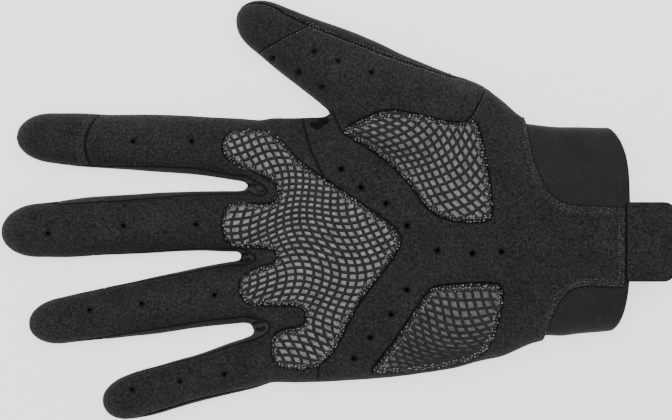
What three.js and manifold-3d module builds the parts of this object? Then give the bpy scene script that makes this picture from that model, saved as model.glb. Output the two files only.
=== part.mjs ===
// A full-finger cycling glove for the right hand, lying on its back with the palm up.
// Millimetres, +Z up. The fingers point along -X, the thumb lies towards +Y and the wrist
// opens towards +X. The glove is hollow: every panel is a wall cut from one lofted hand form.
import * as THREE from "three";
import { mergeVertices } from "three/addons/utils/BufferGeometryUtils.js";
import Module from "manifold-3d";

const wasm = await Module();
wasm.setup();

// Driving sizes of a large glove
const PALM_LENGTH = 100; // crotch of the middle finger to the wrist seam
const PALM_WIDTH = 92; // across the knuckles
const PALM_THICKNESS = 26; // back to palm, as the glove lies
const WRIST_WIDTH = 72; // across the cuff
const WRIST_THICKNESS = 25; // back to palm at the cuff
const CUFF_LENGTH = 36; // wrist seam to the middle of the hem
const TAB_REACH = 15.5; // pull tab past the hem
const TAB_WIDTH = 27.5;
const TAB_CORNER = 4; // radius of the tab's free corners
const HEM_BOW = 6; // how far the middle of the hem stands out past its ends

// Wall thicknesses and clearances
const PANEL_WALL = 1.5; // suede and knit panels
const CUFF_WALL = 2.2; // neoprene cuff
const PAD_RISE = 1.3; // how far the padded zones stand proud of the suede
const TAB_RISE = 0.9; // how far the doubled tab stands proud of the suede
const SEAM_GAP = 0.3; // between two neighbouring panels
const PALM_HOLE = 1.8; // diameter of the air holes in the palm
const FINGER_HOLE = 1.5; // diameter of the air holes in the fingers

// Form of a cross section
const WAIST = 0.46; // height of the widest line, as a share of the section's height
const SETTLE = 2; // how far a round back would sink below the table, where it lies flat
const FINGER_ROUND = 2.15; // superellipse exponent of a finger
const PALM_ROUND = 2.5; // superellipse exponent of the palm and cuff
const FINGER_SIDES = 12;
const PALM_SIDES = 20;
const HOLE_SIDES = 6;
const CAP_ANGLES = [32, 58, 78]; // rings of a rounded fingertip, in degrees
const CUT_MARGIN = 0.9; // how far a seam cutter passes the wall it cuts
const HEM_MARGIN = 1.2; // how far the hem's cutter passes the cuff, as a share of its half width
const TIP_TAPER = 0.93; // width where the rounded tip starts, as a share of the last row's

// Every finger starts at its root on the knuckle line and points at its tip. rootAlong and
// rootAcross are shares of the palm's length and width, heading is in degrees from -X towards
// the thumb, and cap is the length of the rounded tip as a share of the width. In the rows,
// along is a share of the length, drift and wide are shares of the width, high is a share of
// the thickness, and thumbSeam and littleSeam are the angles over the waist, in degrees, at
// which the palm panel ends on the side of the thumb and of the little finger.
const FINGERS = {
  index: {
    rootAlong: 0.017, rootAcross: 0.381, heading: 3.2,
    length: 80, width: 22, thickness: 16.5, cap: 0.56,
    rows: [
      { along: -0.18, drift: -0.04, wide: 1.0, high: 1.12, thumbSeam: 6, littleSeam: 24 },
      { along: 0.0, drift: 0.01, wide: 1.0, high: 1.06, thumbSeam: 6, littleSeam: 30 },
      { along: 0.22, drift: 0.054, wide: 0.93, high: 1.0, thumbSeam: 6, littleSeam: 38 },
      { along: 0.4, drift: 0.049, wide: 0.92, high: 0.98, thumbSeam: 6, littleSeam: 33 },
      { along: 0.58, drift: 0.034, wide: 0.865, high: 0.95, thumbSeam: 6, littleSeam: 24 },
      { along: 0.75, drift: 0.034, wide: 0.845, high: 0.91, thumbSeam: 4, littleSeam: 10 },
    ],
  },
  middle: {
    rootAlong: 0.02, rootAcross: 0.111, heading: -3.1,
    length: 85.5, width: 21.6, thickness: 17, cap: 0.6,
    rows: [
      { along: -0.18, drift: 0.0, wide: 1.0, high: 1.12, thumbSeam: 24, littleSeam: 30 },
      { along: 0.0, drift: 0.0, wide: 1.0, high: 1.06, thumbSeam: 24, littleSeam: 30 },
      { along: 0.18, drift: 0.052, wide: 0.965, high: 1.0, thumbSeam: 28, littleSeam: 24 },
      { along: 0.35, drift: 0.06, wide: 0.98, high: 0.98, thumbSeam: 36, littleSeam: 18 },
      { along: 0.59, drift: 0.064, wide: 0.97, high: 0.95, thumbSeam: 40, littleSeam: 12 },
      { along: 0.76, drift: 0.036, wide: 0.935, high: 0.91, thumbSeam: 30, littleSeam: 6 },
    ],
  },
  ring: {
    rootAlong: 0.004, rootAcross: -0.158, heading: -9.4,
    length: 75, width: 22, thickness: 16.5, cap: 0.52,
    rows: [
      { along: -0.2, drift: 0.0, wide: 1.0, high: 1.12, thumbSeam: 26, littleSeam: 40 },
      { along: 0.0, drift: 0.0, wide: 1.0, high: 1.06, thumbSeam: 26, littleSeam: 40 },
      { along: 0.16, drift: 0.016, wide: 0.955, high: 1.0, thumbSeam: 28, littleSeam: 38 },
      { along: 0.35, drift: 0.01, wide: 0.92, high: 0.97, thumbSeam: 22, littleSeam: 38 },
      { along: 0.54, drift: 0.01, wide: 0.85, high: 0.93, thumbSeam: 14, littleSeam: 33 },
      { along: 0.74, drift: 0.012, wide: 0.78, high: 0.89, thumbSeam: 6, littleSeam: 20 },
    ],
  },
  little: {
    rootAlong: 0.055, rootAcross: -0.423, heading: -15.8,
    length: 55.5, width: 17.9, thickness: 15, cap: 0.53,
    rows: [
      { along: -0.24, drift: 0.05, wide: 1.0, high: 1.12, thumbSeam: 32, littleSeam: 14 },
      { along: 0.0, drift: 0.0, wide: 1.0, high: 1.06, thumbSeam: 32, littleSeam: 16 },
      { along: 0.13, drift: -0.01, wide: 0.975, high: 1.0, thumbSeam: 30, littleSeam: 24 },
      { along: 0.38, drift: -0.022, wide: 0.9, high: 0.97, thumbSeam: 24, littleSeam: 32 },
      { along: 0.63, drift: -0.022, wide: 0.9, high: 0.93, thumbSeam: 10, littleSeam: 30 },
      { along: 0.76, drift: -0.015, wide: 0.9, high: 0.91, thumbSeam: 6, littleSeam: 24 },
    ],
  },
  thumb: {
    rootAlong: 0.764, rootAcross: 0.417, heading: 29.9,
    length: 89, width: 40, thickness: 28, cap: 0.31,
    rows: [
      { along: 0.0, drift: 0.0, wide: 1.0, high: 0.86, thumbSeam: 16, littleSeam: 4 },
      { along: 0.13, drift: 0.004, wide: 0.96, high: 0.99, thumbSeam: 18, littleSeam: 4 },
      { along: 0.35, drift: 0.0, wide: 0.85, high: 1.0, thumbSeam: 24, littleSeam: 4 },
      { along: 0.44, drift: 0.022, wide: 0.77, high: 0.96, thumbSeam: 26, littleSeam: 4 },
      { along: 0.535, drift: 0.038, wide: 0.69, high: 0.88, thumbSeam: 28, littleSeam: 4 },
      { along: 0.625, drift: 0.036, wide: 0.632, high: 0.78, thumbSeam: 30, littleSeam: 4 },
      { along: 0.74, drift: 0.028, wide: 0.557, high: 0.69, thumbSeam: 30, littleSeam: 4 },
      { along: 0.835, drift: 0.036, wide: 0.49, high: 0.63, thumbSeam: 28, littleSeam: 4 },
    ],
  },
};

// Sections across the palm: along is a share of the palm's length, littleEdge and thumbEdge
// are shares of its width, high is a share of its thickness.
const PALM_ROWS = [
  { along: -0.005, littleEdge: -0.09, thumbEdge: 0.04, high: 0.3 },
  { along: 0.012, littleEdge: -0.22, thumbEdge: 0.2, high: 0.46 },
  { along: 0.035, littleEdge: -0.26, thumbEdge: 0.3, high: 0.6 },
  { along: 0.065, littleEdge: -0.33, thumbEdge: 0.48, high: 0.7 },
  { along: 0.11, littleEdge: -0.497, thumbEdge: 0.504, high: 0.77 },
  { along: 0.18, littleEdge: -0.503, thumbEdge: 0.505, high: 0.82 },
  { along: 0.3, littleEdge: -0.498, thumbEdge: 0.508, high: 0.88 },
  { along: 0.35, littleEdge: -0.494, thumbEdge: 0.53, high: 0.9 },
  { along: 0.52, littleEdge: -0.48, thumbEdge: 0.53, high: 0.96 },
  { along: 0.68, littleEdge: -0.46, thumbEdge: 0.61, high: 1.0 },
  { along: 0.77, littleEdge: -0.442, thumbEdge: 0.66, high: 1.0 },
  { along: 0.85, littleEdge: -0.418, thumbEdge: 0.63, high: 1.0 },
  { along: 0.92, littleEdge: -0.402, thumbEdge: 0.575, high: 0.99 },
];

// Sections across the cuff: along is a share of the cuff's length past the wrist seam,
// littleEdge and thumbEdge are shares of the wrist's width, high is a share of its thickness.
const CUFF_ROWS = [
  { along: -0.03, littleEdge: -0.572, thumbEdge: 0.545, high: 1.02 },
  { along: 0.06, littleEdge: -0.55, thumbEdge: 0.54, high: 1.0 },
  { along: 0.22, littleEdge: -0.532, thumbEdge: 0.53, high: 0.99 },
  { along: 0.34, littleEdge: -0.54, thumbEdge: 0.525, high: 0.98 },
  { along: 1.5, littleEdge: -0.475, thumbEdge: 0.525, high: 0.98 },
];
const WRIST_MID = 0.078; // middle of the cuff, as a share of the palm's width
const BODY_SEAM = 5; // angle over the waist at which the palm side ends, in degrees
const WEB_SETBACK = 0.05; // palm panel's edge behind the crotches, as a share of its length

// The knuckle pad sends one lobe towards each finger. reach is the lobe's end, thumbEdge and
// littleEdge are its sides, and bay is how far back the suede runs in behind the next crotch.
// Along values are shares of the palm's length, across values of its width.
const PAD_LOBES = [
  { reach: -0.049, thumbEdge: 0.452, littleEdge: 0.335, bay: 0.134, bayFrom: 0.248, bayTo: 0.19 },
  { reach: -0.049, thumbEdge: 0.178, littleEdge: 0.022, bay: 0.132, bayFrom: -0.002, bayTo: -0.036 },
  { reach: 0.01, thumbEdge: -0.075, littleEdge: -0.2, bay: 0.228, bayFrom: -0.218, bayTo: -0.275 },
  { reach: 0.122, thumbEdge: -0.298, littleEdge: -0.438 },
];
const LOBE_CORNER = 0.03; // rounding of a lobe's end, as a share of the palm's length
// Edge of the knuckle pad towards the wrist, from the little finger round to the index finger
const PAD_HEEL = [
  { along: 0.206, across: -0.447 },
  { along: 0.276, across: -0.432 },
  { along: 0.325, across: -0.39 },
  { along: 0.417, across: -0.205 },
  { along: 0.535, across: -0.03 },
  { along: 0.566, across: 0.036 },
  { along: 0.55, across: 0.08 },
  { along: 0.385, across: 0.213 },
  { along: 0.214, across: 0.342 },
  { along: 0.144, across: 0.426 },
  { along: 0.105, across: 0.45 },
];
const THENAR_PAD = [
  { along: 0.355, across: 0.45 },
  { along: 0.41, across: 0.487 },
  { along: 0.515, across: 0.537 },
  { along: 0.63, across: 0.512 },
  { along: 0.765, across: 0.477 },
  { along: 0.822, across: 0.498 },
  { along: 0.84, across: 0.45 },
  { along: 0.872, across: 0.277 },
  { along: 0.886, across: 0.133 },
  { along: 0.855, across: 0.107 },
  { along: 0.765, across: 0.108 },
  { along: 0.667, across: 0.137 },
  { along: 0.586, across: 0.268 },
  { along: 0.497, across: 0.355 },
  { along: 0.408, across: 0.418 },
];
const HEEL_PAD = [
  { along: 0.456, across: -0.452 },
  { along: 0.54, across: -0.344 },
  { along: 0.6, across: -0.243 },
  { along: 0.662, across: -0.141 },
  { along: 0.7, across: -0.124 },
  { along: 0.845, across: -0.116 },
  { along: 0.915, across: -0.121 },
  { along: 0.921, across: -0.19 },
  { along: 0.889, across: -0.319 },
  { along: 0.865, across: -0.368 },
  { along: 0.82, across: -0.399 },
  { along: 0.69, across: -0.434 },
  { along: 0.48, across: -0.455 },
];

// Seams that part the palm side into panels, drawn past the walls that they cut
const INDEX_BASE_SEAM = [
  { along: 0.224, across: 0.54 },
  { along: 0.231, across: 0.47 },
  { along: 0.252, across: 0.385 },
  { along: 0.3, across: 0.276 },
  { along: 0.315, across: 0.24 },
];
const LITTLE_BASE_SEAM = [
  { along: 0.285, across: -0.4 },
  { along: 0.281, across: -0.44 },
  { along: 0.275, across: -0.54 },
];
const THUMB_WEB_SEAM = [
  { along: 0.325, across: 0.535 },
  { along: 0.34, across: 0.487 },
  { along: 0.36, across: 0.45 },
  { along: 0.38, across: 0.44 },
];
const THUMB_HEEL_SEAM = [
  { along: 0.775, across: 0.46 },
  { along: 0.795, across: 0.487 },
  { along: 0.822, across: 0.525 },
  { along: 0.857, across: 0.6 },
  { along: 0.875, across: 0.68 },
];
const THUMB_BACK_SEAM = [
  { along: 0.3, across: 0.53 },
  { along: 0.36, across: 0.5 },
  { along: 0.48, across: 0.53 },
  { along: 0.68, across: 0.56 },
  { along: 0.85, across: 0.6 },
  { along: 0.9, across: 0.66 },
];

// Seams of the touch tips: along is a share of the finger's length, across of its width
const INDEX_TIP_SEAM = [
  { along: 0.62, across: 0.75 },
  { along: 0.645, across: 0.42 },
  { along: 0.682, across: 0.2 },
  { along: 0.69, across: 0.0 },
  { along: 0.665, across: -0.35 },
  { along: 0.635, across: -0.75 },
];
const THUMB_TIP_SEAM = [
  { along: 0.75, across: 0.45 },
  { along: 0.79, across: 0.1 },
  { along: 0.835, across: -0.42 },
];

// Edge of the suede over the cuff: along is a share of the cuff's length past the wrist
// seam, across of the wrist's width. The tongue between the two curves reaches the hem.
const TONGUE_THUMB_EDGE = [
  { along: -0.01, across: 0.65 },
  { along: 0.02, across: 0.5 },
  { along: 0.045, across: 0.41 },
  { along: 0.09, across: 0.32 },
  { along: 0.16, across: 0.23 },
  { along: 0.28, across: 0.15 },
  { along: 0.4, across: 0.115 },
  { along: 0.58, across: 0.1 },
];
const TONGUE_LITTLE_EDGE = [
  { along: 0.55, across: -0.262 },
  { along: 0.43, across: -0.285 },
  { along: 0.34, across: -0.33 },
  { along: 0.27, across: -0.395 },
  { along: 0.22, across: -0.47 },
  { along: 0.18, across: -0.55 },
  { along: 0.16, across: -0.7 },
];
const TONGUE_MID = -0.054; // middle of the tongue and tab, as a share of the wrist's width
const TAB_LAP = 1.6; // how far the tab's root lies over the cuff, inside the hem
const BACK_EDGE = 0.11; // edge of the back panel over the cuff, share of the cuff's length
const CUFF_TUCK = 4.5; // how far the cuff runs in under the panels

// Air holes in the palm, as shares of its length and width
const PALM_HOLES = [
  { along: 0.36, across: 0.31 },
  { along: 0.428, across: 0.24 },
  { along: 0.514, across: 0.18 },
  { along: 0.586, across: 0.097 },
  { along: 0.691, across: 0.004 },
  { along: 0.811, across: -0.008 },
  { along: 0.912, across: -0.001 },
  { along: 0.585, across: -0.144 },
  { along: 0.531, across: -0.238 },
  { along: 0.46, across: -0.326 },
  { along: 0.403, across: -0.406 },
];
// Air holes in the fingers: along is a share of the finger's length, across of its width
const FINGER_HOLES = {
  index: [
    { along: 0.225, across: 0.1 },
    { along: 0.48, across: 0.05 },
  ],
  middle: [
    { along: 0.195, across: 0.0 },
    { along: 0.49, across: 0.04 },
    { along: 0.8, across: -0.02 },
  ],
  ring: [
    { along: 0.115, across: 0.03 },
    { along: 0.455, across: 0.08 },
    { along: 0.7, across: 0.12 },
  ],
  little: [
    { along: 0.2, across: -0.06 },
    { along: 0.48, across: 0.04 },
    { along: 0.785, across: 0.14 },
  ],
  thumb: [
    { along: 0.79, across: -0.185 },
    { along: 0.672, across: -0.18 },
    { along: 0.66, across: 0.05 },
    { along: 0.565, across: -0.19 },
    { along: 0.56, across: 0.08 },
    { along: 0.425, across: 0.135 },
  ],
};

// The side walls between the fingers: the two fingers, and where the wall starts on them as
// a share of each finger's length
const FOURCHETTES = [
  { name: "fourchette_index_middle", thumbSide: "index", littleSide: "middle", from: 0.74, to: 0.8 },
  { name: "fourchette_middle_ring", thumbSide: "middle", littleSide: "ring", from: 0.66, to: 0.6 },
  { name: "fourchette_ring_little", thumbSide: "ring", littleSide: "little", from: 0.76, to: 0.62 },
];
const WEB_DEPTH = 0.075; // how far the fourchettes run in behind the crotches

const palmPoint = (p) => [p.along * PALM_LENGTH, p.across * PALM_WIDTH];
const cuffPoint = (p) => [
  PALM_LENGTH + p.along * CUFF_LENGTH,
  WRIST_MID * PALM_WIDTH + p.across * WRIST_WIDTH,
];

// The unit vectors of a finger: forward points at its tip and side towards the thumb.
function fingerAxes(finger) {
  const turn = THREE.MathUtils.degToRad(finger.heading);
  return {
    root: palmPoint({ along: finger.rootAlong, across: finger.rootAcross }),
    forward: [-Math.cos(turn), Math.sin(turn)],
    side: [Math.sin(turn), Math.cos(turn)],
  };
}

// A point beside a finger's straight axis, from shares of its length and width.
function fingerPoint(finger, p) {
  const { root, forward, side } = fingerAxes(finger);
  const ahead = p.along * finger.length;
  const beside = p.across * finger.width;
  return [0, 1].map((i) => root[i] + forward[i] * ahead + side[i] * beside);
}

// Turns a closed geometry into a solid for cutting and joining.
function solidOf(geometry) {
  const bare = geometry.index ? geometry.toNonIndexed() : geometry.clone();
  bare.deleteAttribute("normal");
  bare.deleteAttribute("uv");
  const merged = mergeVertices(bare, 1e-4);
  const mesh = new wasm.Mesh({
    numProp: 3,
    vertProperties: merged.attributes.position.array,
    triVerts: new Uint32Array(merged.index.array),
  });
  const solid = new wasm.Manifold(mesh);
  if (solid.volume() > 0) return solid;
  mesh.triVerts = mesh.triVerts.slice().reverse();
  return new wasm.Manifold(mesh);
}

// Skins a row of rings, each an equal number of [x, y, z] points, and closes both ends.
function loft(rings) {
  const count = rings[0].length;
  const centre = (ring) => [0, 1, 2].map((i) => ring.reduce((sum, p) => sum + p[i], 0) / count);
  const points = [...rings.flat(), centre(rings[0]), centre(rings[rings.length - 1])];
  const startCentre = points.length - 2;
  const endCentre = points.length - 1;
  const lastRing = (rings.length - 1) * count;
  const faces = [];
  for (let side = 0; side < count; side++) {
    const next = (side + 1) % count;
    for (let r = 0; r + 1 < rings.length; r++) {
      const near = r * count;
      const far = near + count;
      faces.push(near + side, near + next, far + next, near + side, far + next, far + side);
    }
    faces.push(startCentre, next, side, endCentre, lastRing + side, lastRing + next);
  }
  const geometry = new THREE.BufferGeometry();
  geometry.setAttribute("position", new THREE.Float32BufferAttribute(points.flat(), 3));
  geometry.setIndex(faces);
  return solidOf(geometry);
}

// Extrudes a plan outline of [x, y] points from low to high.
function prism(outline, low = -40, high = 80) {
  const shape = new THREE.Shape(outline.map(([x, y]) => new THREE.Vector2(x, y)));
  const geometry = new THREE.ExtrudeGeometry(shape, { depth: high - low, bevelEnabled: false });
  return solidOf(geometry.translate(0, 0, low));
}

// A smooth closed curve through plan points, with a number of steps between each two of them.
function smoothLoop(points, steps) {
  const knots = points.map(([x, y]) => new THREE.Vector3(x, y, 0));
  const curve = new THREE.CatmullRomCurve3(knots, true, "centripetal");
  return curve.getPoints(points.length * steps).slice(0, -1).map((p) => [p.x, p.y]);
}

// Moves a plan outline sideways by a distance, outwards on a closed one, with mitred corners.
function offset(points, distance, closed = false) {
  const last = points.length - 1;
  const area = points.reduce((sum, p, i) => {
    const q = points[(i + 1) % points.length];
    return sum + p[0] * q[1] - q[0] * p[1];
  }, 0);
  const out = closed && area < 0 ? -distance : distance;
  const normal = (from, to) => {
    const length = Math.hypot(to[0] - from[0], to[1] - from[1]);
    return [(to[1] - from[1]) / length, (from[0] - to[0]) / length];
  };
  return points.map((p, i) => {
    const before = points[closed ? (i + last) % points.length : i - 1];
    const after = points[closed ? (i + 1) % points.length : i + 1];
    const near = normal(before ?? p, before ? p : after);
    const far = normal(after ? p : before, after ?? p);
    const mitre = out / (1 + near[0] * far[0] + near[1] * far[1]);
    return [p[0] + (near[0] + far[0]) * mitre, p[1] + (near[1] + far[1]) * mitre];
  });
}

// A narrow upright slot along a seam, which parts the panels on its two sides.
function slot(points) {
  const half = SEAM_GAP / 2;
  return prism([...offset(points, half), ...offset(points, -half).reverse()]);
}

const everySecond = (list) => list.filter((_, i) => i % 2 === 0);
const union = (solids) => solids.reduce((all, next) => all.add(next));
const subtractAll = (solid, cutters) => cutters.reduce((left, cutter) => left.subtract(cutter), solid);

// One cross section: its middle, the direction across it, its half width and its height.
function section(middle, across, half, top, round, seams) {
  return { middle, across, half, top, round, waist: WAIST * top, ...seams };
}

// The sections of a finger up to where its rounded tip starts.
function fingerSections(finger) {
  const { side } = fingerAxes(finger);
  const last = finger.rows[finger.rows.length - 1];
  const capStart = 1 - (finger.cap * finger.width) / finger.length;
  const tip = { along: capStart, wide: last.wide * TIP_TAPER, thumbSeam: 0, littleSeam: 0 };
  const rows = [...finger.rows, { ...last, ...tip }];
  return rows.map((row) =>
    section(
      fingerPoint(finger, { along: row.along, across: row.drift }),
      side,
      (row.wide * finger.width) / 2,
      row.high * finger.thickness,
      FINGER_ROUND,
      { thumbSeam: row.thumbSeam, littleSeam: row.littleSeam },
    ),
  );
}

// The sections of the palm and cuff, from the crotches to past the hem. forward is how far
// the front of the palm moves, so that an inner form keeps its wall behind the crotches.
function bodySections(forward = 0) {
  const seams = { thumbSeam: BODY_SEAM, littleSeam: BODY_SEAM };
  const across = [0, 1];
  const build = (row, place, width, thickness, shift) => {
    const low = place({ along: row.along, across: row.littleEdge });
    const high = place({ along: row.along, across: row.thumbEdge });
    const middle = [low[0] - shift, (low[1] + high[1]) / 2];
    return section(middle, across, ((row.thumbEdge - row.littleEdge) * width) / 2,
      row.high * thickness, PALM_ROUND, seams);
  };
  return [
    ...PALM_ROWS.map((row) =>
      build(row, palmPoint, PALM_WIDTH, PALM_THICKNESS, row.along < 0.3 ? forward : 0)),
    ...CUFF_ROWS.map((row) => build(row, cuffPoint, WRIST_WIDTH, WRIST_THICKNESS, 0)),
  ];
}

// The outline of a section, grown outwards, as [x, y, z] points. shrink draws it in for a
// rounded tip and forward moves it along the finger.
function sectionRing(s, sides, grow, shrink = 1, forward = [0, 0]) {
  const floor = Math.max(0, -grow);
  const signedPower = (value) => Math.sign(value) * Math.abs(value) ** (2 / s.round);
  return Array.from({ length: sides }, (_, k) => {
    const angle = (k * 2 * Math.PI) / sides;
    const rise = Math.sin(angle) > 0 ? s.top - s.waist : s.waist + SETTLE;
    const beside = (s.half + grow) * shrink * signedPower(Math.cos(angle));
    const height = s.waist + (rise + grow) * shrink * signedPower(Math.sin(angle));
    return [
      s.middle[0] + forward[0] + s.across[0] * beside,
      s.middle[1] + forward[1] + s.across[1] * beside,
      Math.max(height, floor),
    ];
  });
}

// A finger's closed form, grown outwards by grow.
function fingerForm(finger, grow) {
  const sections = fingerSections(finger);
  const rings = sections.map((s) => sectionRing(s, FINGER_SIDES, grow));
  const last = sections[sections.length - 1];
  const { forward } = fingerAxes(finger);
  const capLength = finger.cap * finger.width + grow;
  for (const degrees of CAP_ANGLES) {
    const angle = THREE.MathUtils.degToRad(degrees);
    const ahead = forward.map((f) => f * capLength * Math.sin(angle));
    rings.push(sectionRing(last, FINGER_SIDES, grow, Math.cos(angle), ahead));
  }
  return loft(rings);
}

const bodyForm = (grow) =>
  loft(bodySections(Math.max(grow, -PANEL_WALL)).map((s) => sectionRing(s, PALM_SIDES, grow)));
const handForm = (grow) =>
  union([bodyForm(grow), ...Object.values(FINGERS).map((finger) => fingerForm(finger, grow))]);

// The outline of a seam cutter in one section, on the palm side (up is 1) or back side (-1).
function cutterRing(s, up, slack) {
  const rise = s.top - s.waist;
  const pivot = Math.max(s.half - rise, 0);
  const edge = s.half + CUT_MARGIN;
  const climb = (degrees) => (edge - pivot) * Math.tan(THREE.MathUtils.degToRad(degrees));
  const far = up > 0 ? s.top + 6 : -6;
  const point = (beside, height) => [
    s.middle[0] + s.across[0] * beside,
    s.middle[1] + s.across[1] * beside,
    height,
  ];
  const base = s.waist - up * slack;
  return [
    point(-pivot, base),
    point(-edge, base + up * climb(s.littleSeam)),
    point(-edge, far),
    point(edge, far),
    point(edge, base + up * climb(s.thumbSeam)),
    point(pivot, base),
  ];
}

function fingerCutter(finger, up, slack) {
  const sections = everySecond(fingerSections(finger));
  const last = sections[sections.length - 1];
  const { forward } = fingerAxes(finger);
  const past = finger.cap * finger.width + 4;
  const beyond = { ...last, middle: last.middle.map((m, i) => m + forward[i] * past) };
  return loft([...sections, beyond].map((s) => cutterRing(s, up, slack)));
}

// Everything on one side of the seams round the glove's edge.
function seamCutter(up, slack) {
  const front = WEB_SETBACK - slack / PALM_LENGTH;
  const wide = PALM_ROWS.findIndex((row) => row.along >= WEB_SETBACK);
  const body = everySecond(bodySections().slice(wide));
  const first = { ...body[0], middle: [front * PALM_LENGTH, body[0].middle[1]] };
  const palm = loft([first, ...body].map((s) => cutterRing(s, up, slack)));
  return union([palm, ...Object.values(FINGERS).map((f) => fingerCutter(f, up, slack))]);
}

// The outline of the knuckle pad, round its lobes and back along its heel.
function knucklePadOutline() {
  const outline = [];
  for (const lobe of PAD_LOBES) {
    const shoulder = lobe.reach + LOBE_CORNER;
    outline.push({ along: shoulder, across: lobe.thumbEdge });
    outline.push({ along: lobe.reach, across: lobe.thumbEdge - LOBE_CORNER });
    outline.push({ along: lobe.reach, across: lobe.littleEdge + LOBE_CORNER });
    outline.push({ along: shoulder, across: lobe.littleEdge });
    if (lobe.bay === undefined) continue;
    outline.push({ along: lobe.bay, across: lobe.bayFrom });
    outline.push({ along: lobe.bay, across: lobe.bayTo });
  }
  return smoothLoop([...outline, ...PAD_HEEL].map(palmPoint), 2);
}

// The plan of the hem: straight from side to side but bowed out in the middle.
function hemOutline() {
  const steps = 8;
  const end = PALM_LENGTH + CUFF_LENGTH;
  const middle = WRIST_MID * PALM_WIDTH;
  const reach = (HEM_MARGIN * WRIST_WIDTH) / 2;
  const hem = Array.from({ length: steps + 1 }, (_, i) => {
    const across = HEM_MARGIN * ((2 * i) / steps - 1);
    return [end - HEM_BOW * across ** 4, middle + (across * WRIST_WIDTH) / 2];
  });
  const start = PALM_LENGTH - CUFF_TUCK;
  return [[start, middle - reach], ...hem, [start, middle + reach]];
}

// The plan of everything on the palm side that is suede: the whole palm, and the tongue
// that runs over the cuff as far as the tab.
function suedeOutline() {
  const tongueEnd = PALM_LENGTH + CUFF_LENGTH - TAB_LAP - SEAM_GAP;
  const middle = WRIST_MID * PALM_WIDTH + TONGUE_MID * WRIST_WIDTH;
  const far = 2 * PALM_LENGTH;
  const thumbEdge = TONGUE_THUMB_EDGE.map(cuffPoint);
  const littleEdge = TONGUE_LITTLE_EDGE.map(cuffPoint);
  return [
    [-far, far],
    [thumbEdge[0][0], far],
    ...thumbEdge,
    [tongueEnd, middle + TAB_WIDTH / 2],
    [tongueEnd, middle - TAB_WIDTH / 2],
    ...littleEdge,
    [littleEdge[littleEdge.length - 1][0], -far],
    [-far, -far],
  ];
}

// The plan of the pull tab, with rounded free corners.
function tabOutline() {
  const root = PALM_LENGTH + CUFF_LENGTH - TAB_LAP;
  const end = PALM_LENGTH + CUFF_LENGTH + TAB_REACH;
  const middle = WRIST_MID * PALM_WIDTH + TONGUE_MID * WRIST_WIDTH;
  const half = TAB_WIDTH / 2;
  const corner = (side) =>
    [0, 30, 60, 90].map((degrees) => {
      const angle = THREE.MathUtils.degToRad(degrees);
      return [
        end - TAB_CORNER + TAB_CORNER * Math.sin(angle),
        middle + side * (half - TAB_CORNER + TAB_CORNER * Math.cos(angle)),
      ];
    });
  return [[root, middle + half], ...corner(1), ...corner(-1).reverse(), [root, middle - half]];
}

function airHole(point, diameter) {
  const radius = diameter / 2;
  const geometry = new THREE.CylinderGeometry(radius, radius, PALM_THICKNESS * 2, HOLE_SIDES);
  geometry.rotateX(Math.PI / 2).translate(point[0], point[1], PALM_THICKNESS * 1.4);
  return solidOf(geometry);
}

function airHoles() {
  const palm = PALM_HOLES.map((p) => airHole(palmPoint(p), PALM_HOLE));
  const fingers = Object.entries(FINGER_HOLES).flatMap(([name, holes]) =>
    holes.map((p) => airHole(fingerPoint(FINGERS[name], p), FINGER_HOLE)));
  return [...palm, ...fingers];
}

// The plan between two neighbouring fingers, from near their tips to behind the crotch.
function fourchetteRegion({ thumbSide, littleSide, from, to }, grow) {
  const upper = FINGERS[thumbSide];
  const lower = FINGERS[littleSide];
  const depth = WEB_DEPTH * PALM_LENGTH + grow;
  const upperRoot = fingerAxes(upper).root;
  const lowerRoot = fingerAxes(lower).root;
  const stretch = (finger, share) => share + grow / finger.length;
  return prism([
    fingerPoint(upper, { along: stretch(upper, from), across: 0 }),
    [depth, upperRoot[1]],
    [depth, lowerRoot[1]],
    fingerPoint(lower, { along: stretch(lower, to), across: 0 }),
  ]);
}

// The body of a cut solid that lies over a plan point.
function pick(solids, point, name) {
  const probe = solidOf(new THREE.BoxGeometry(0.6, 0.6, 200).translate(point[0], point[1], 0));
  const found = solids.find((solid) => solid.intersect(probe).volume() > 0);
  if (!found) throw new Error(`no panel lies at the point of ${name}`);
  return found;
}

// Materials: black suede, stretch knit, open mesh over grey foam, and neoprene
const finish = (hex, roughness) =>
  new THREE.MeshStandardMaterial({ color: hex, roughness, metalness: 0 });
const suede = finish(0x2c2c2d, 0.95);
const touchSuede = finish(0x2a2a2b, 0.85);
const knit = finish(0x262628, 0.9);
const padMesh = finish(0x6f7071, 0.8);
const neoprene = finish(0x29292a, 0.85);

const glove = new THREE.Group();

// Gives a solid back as a named mesh of the glove.
function add(name, solid, material) {
  const mesh = solid.getMesh();
  const geometry = new THREE.BufferGeometry();
  geometry.setAttribute("position", new THREE.Float32BufferAttribute(mesh.vertProperties, 3));
  geometry.setIndex(new THREE.BufferAttribute(mesh.triVerts, 1));
  geometry.computeVertexNormals();
  const part = new THREE.Mesh(geometry, material);
  part.name = name;
  glove.add(part);
}

const outer = handForm(0);
const inner = handForm(-PANEL_WALL);
const shell = outer.subtract(inner);
const palmSide = seamCutter(1, 0);
const palmSideClear = seamCutter(1, SEAM_GAP);

// Pads, thicker than the suede round them
const padOutlines = {
  knuckle_pad: knucklePadOutline(),
  thenar_pad: THENAR_PAD.map(palmPoint),
  hypothenar_pad: HEEL_PAD.map(palmPoint),
};
const padShell = handForm(PAD_RISE).subtract(inner).intersect(palmSide);
for (const [name, outline] of Object.entries(padOutlines))
  add(name, padShell.intersect(prism(outline)), padMesh);

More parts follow.
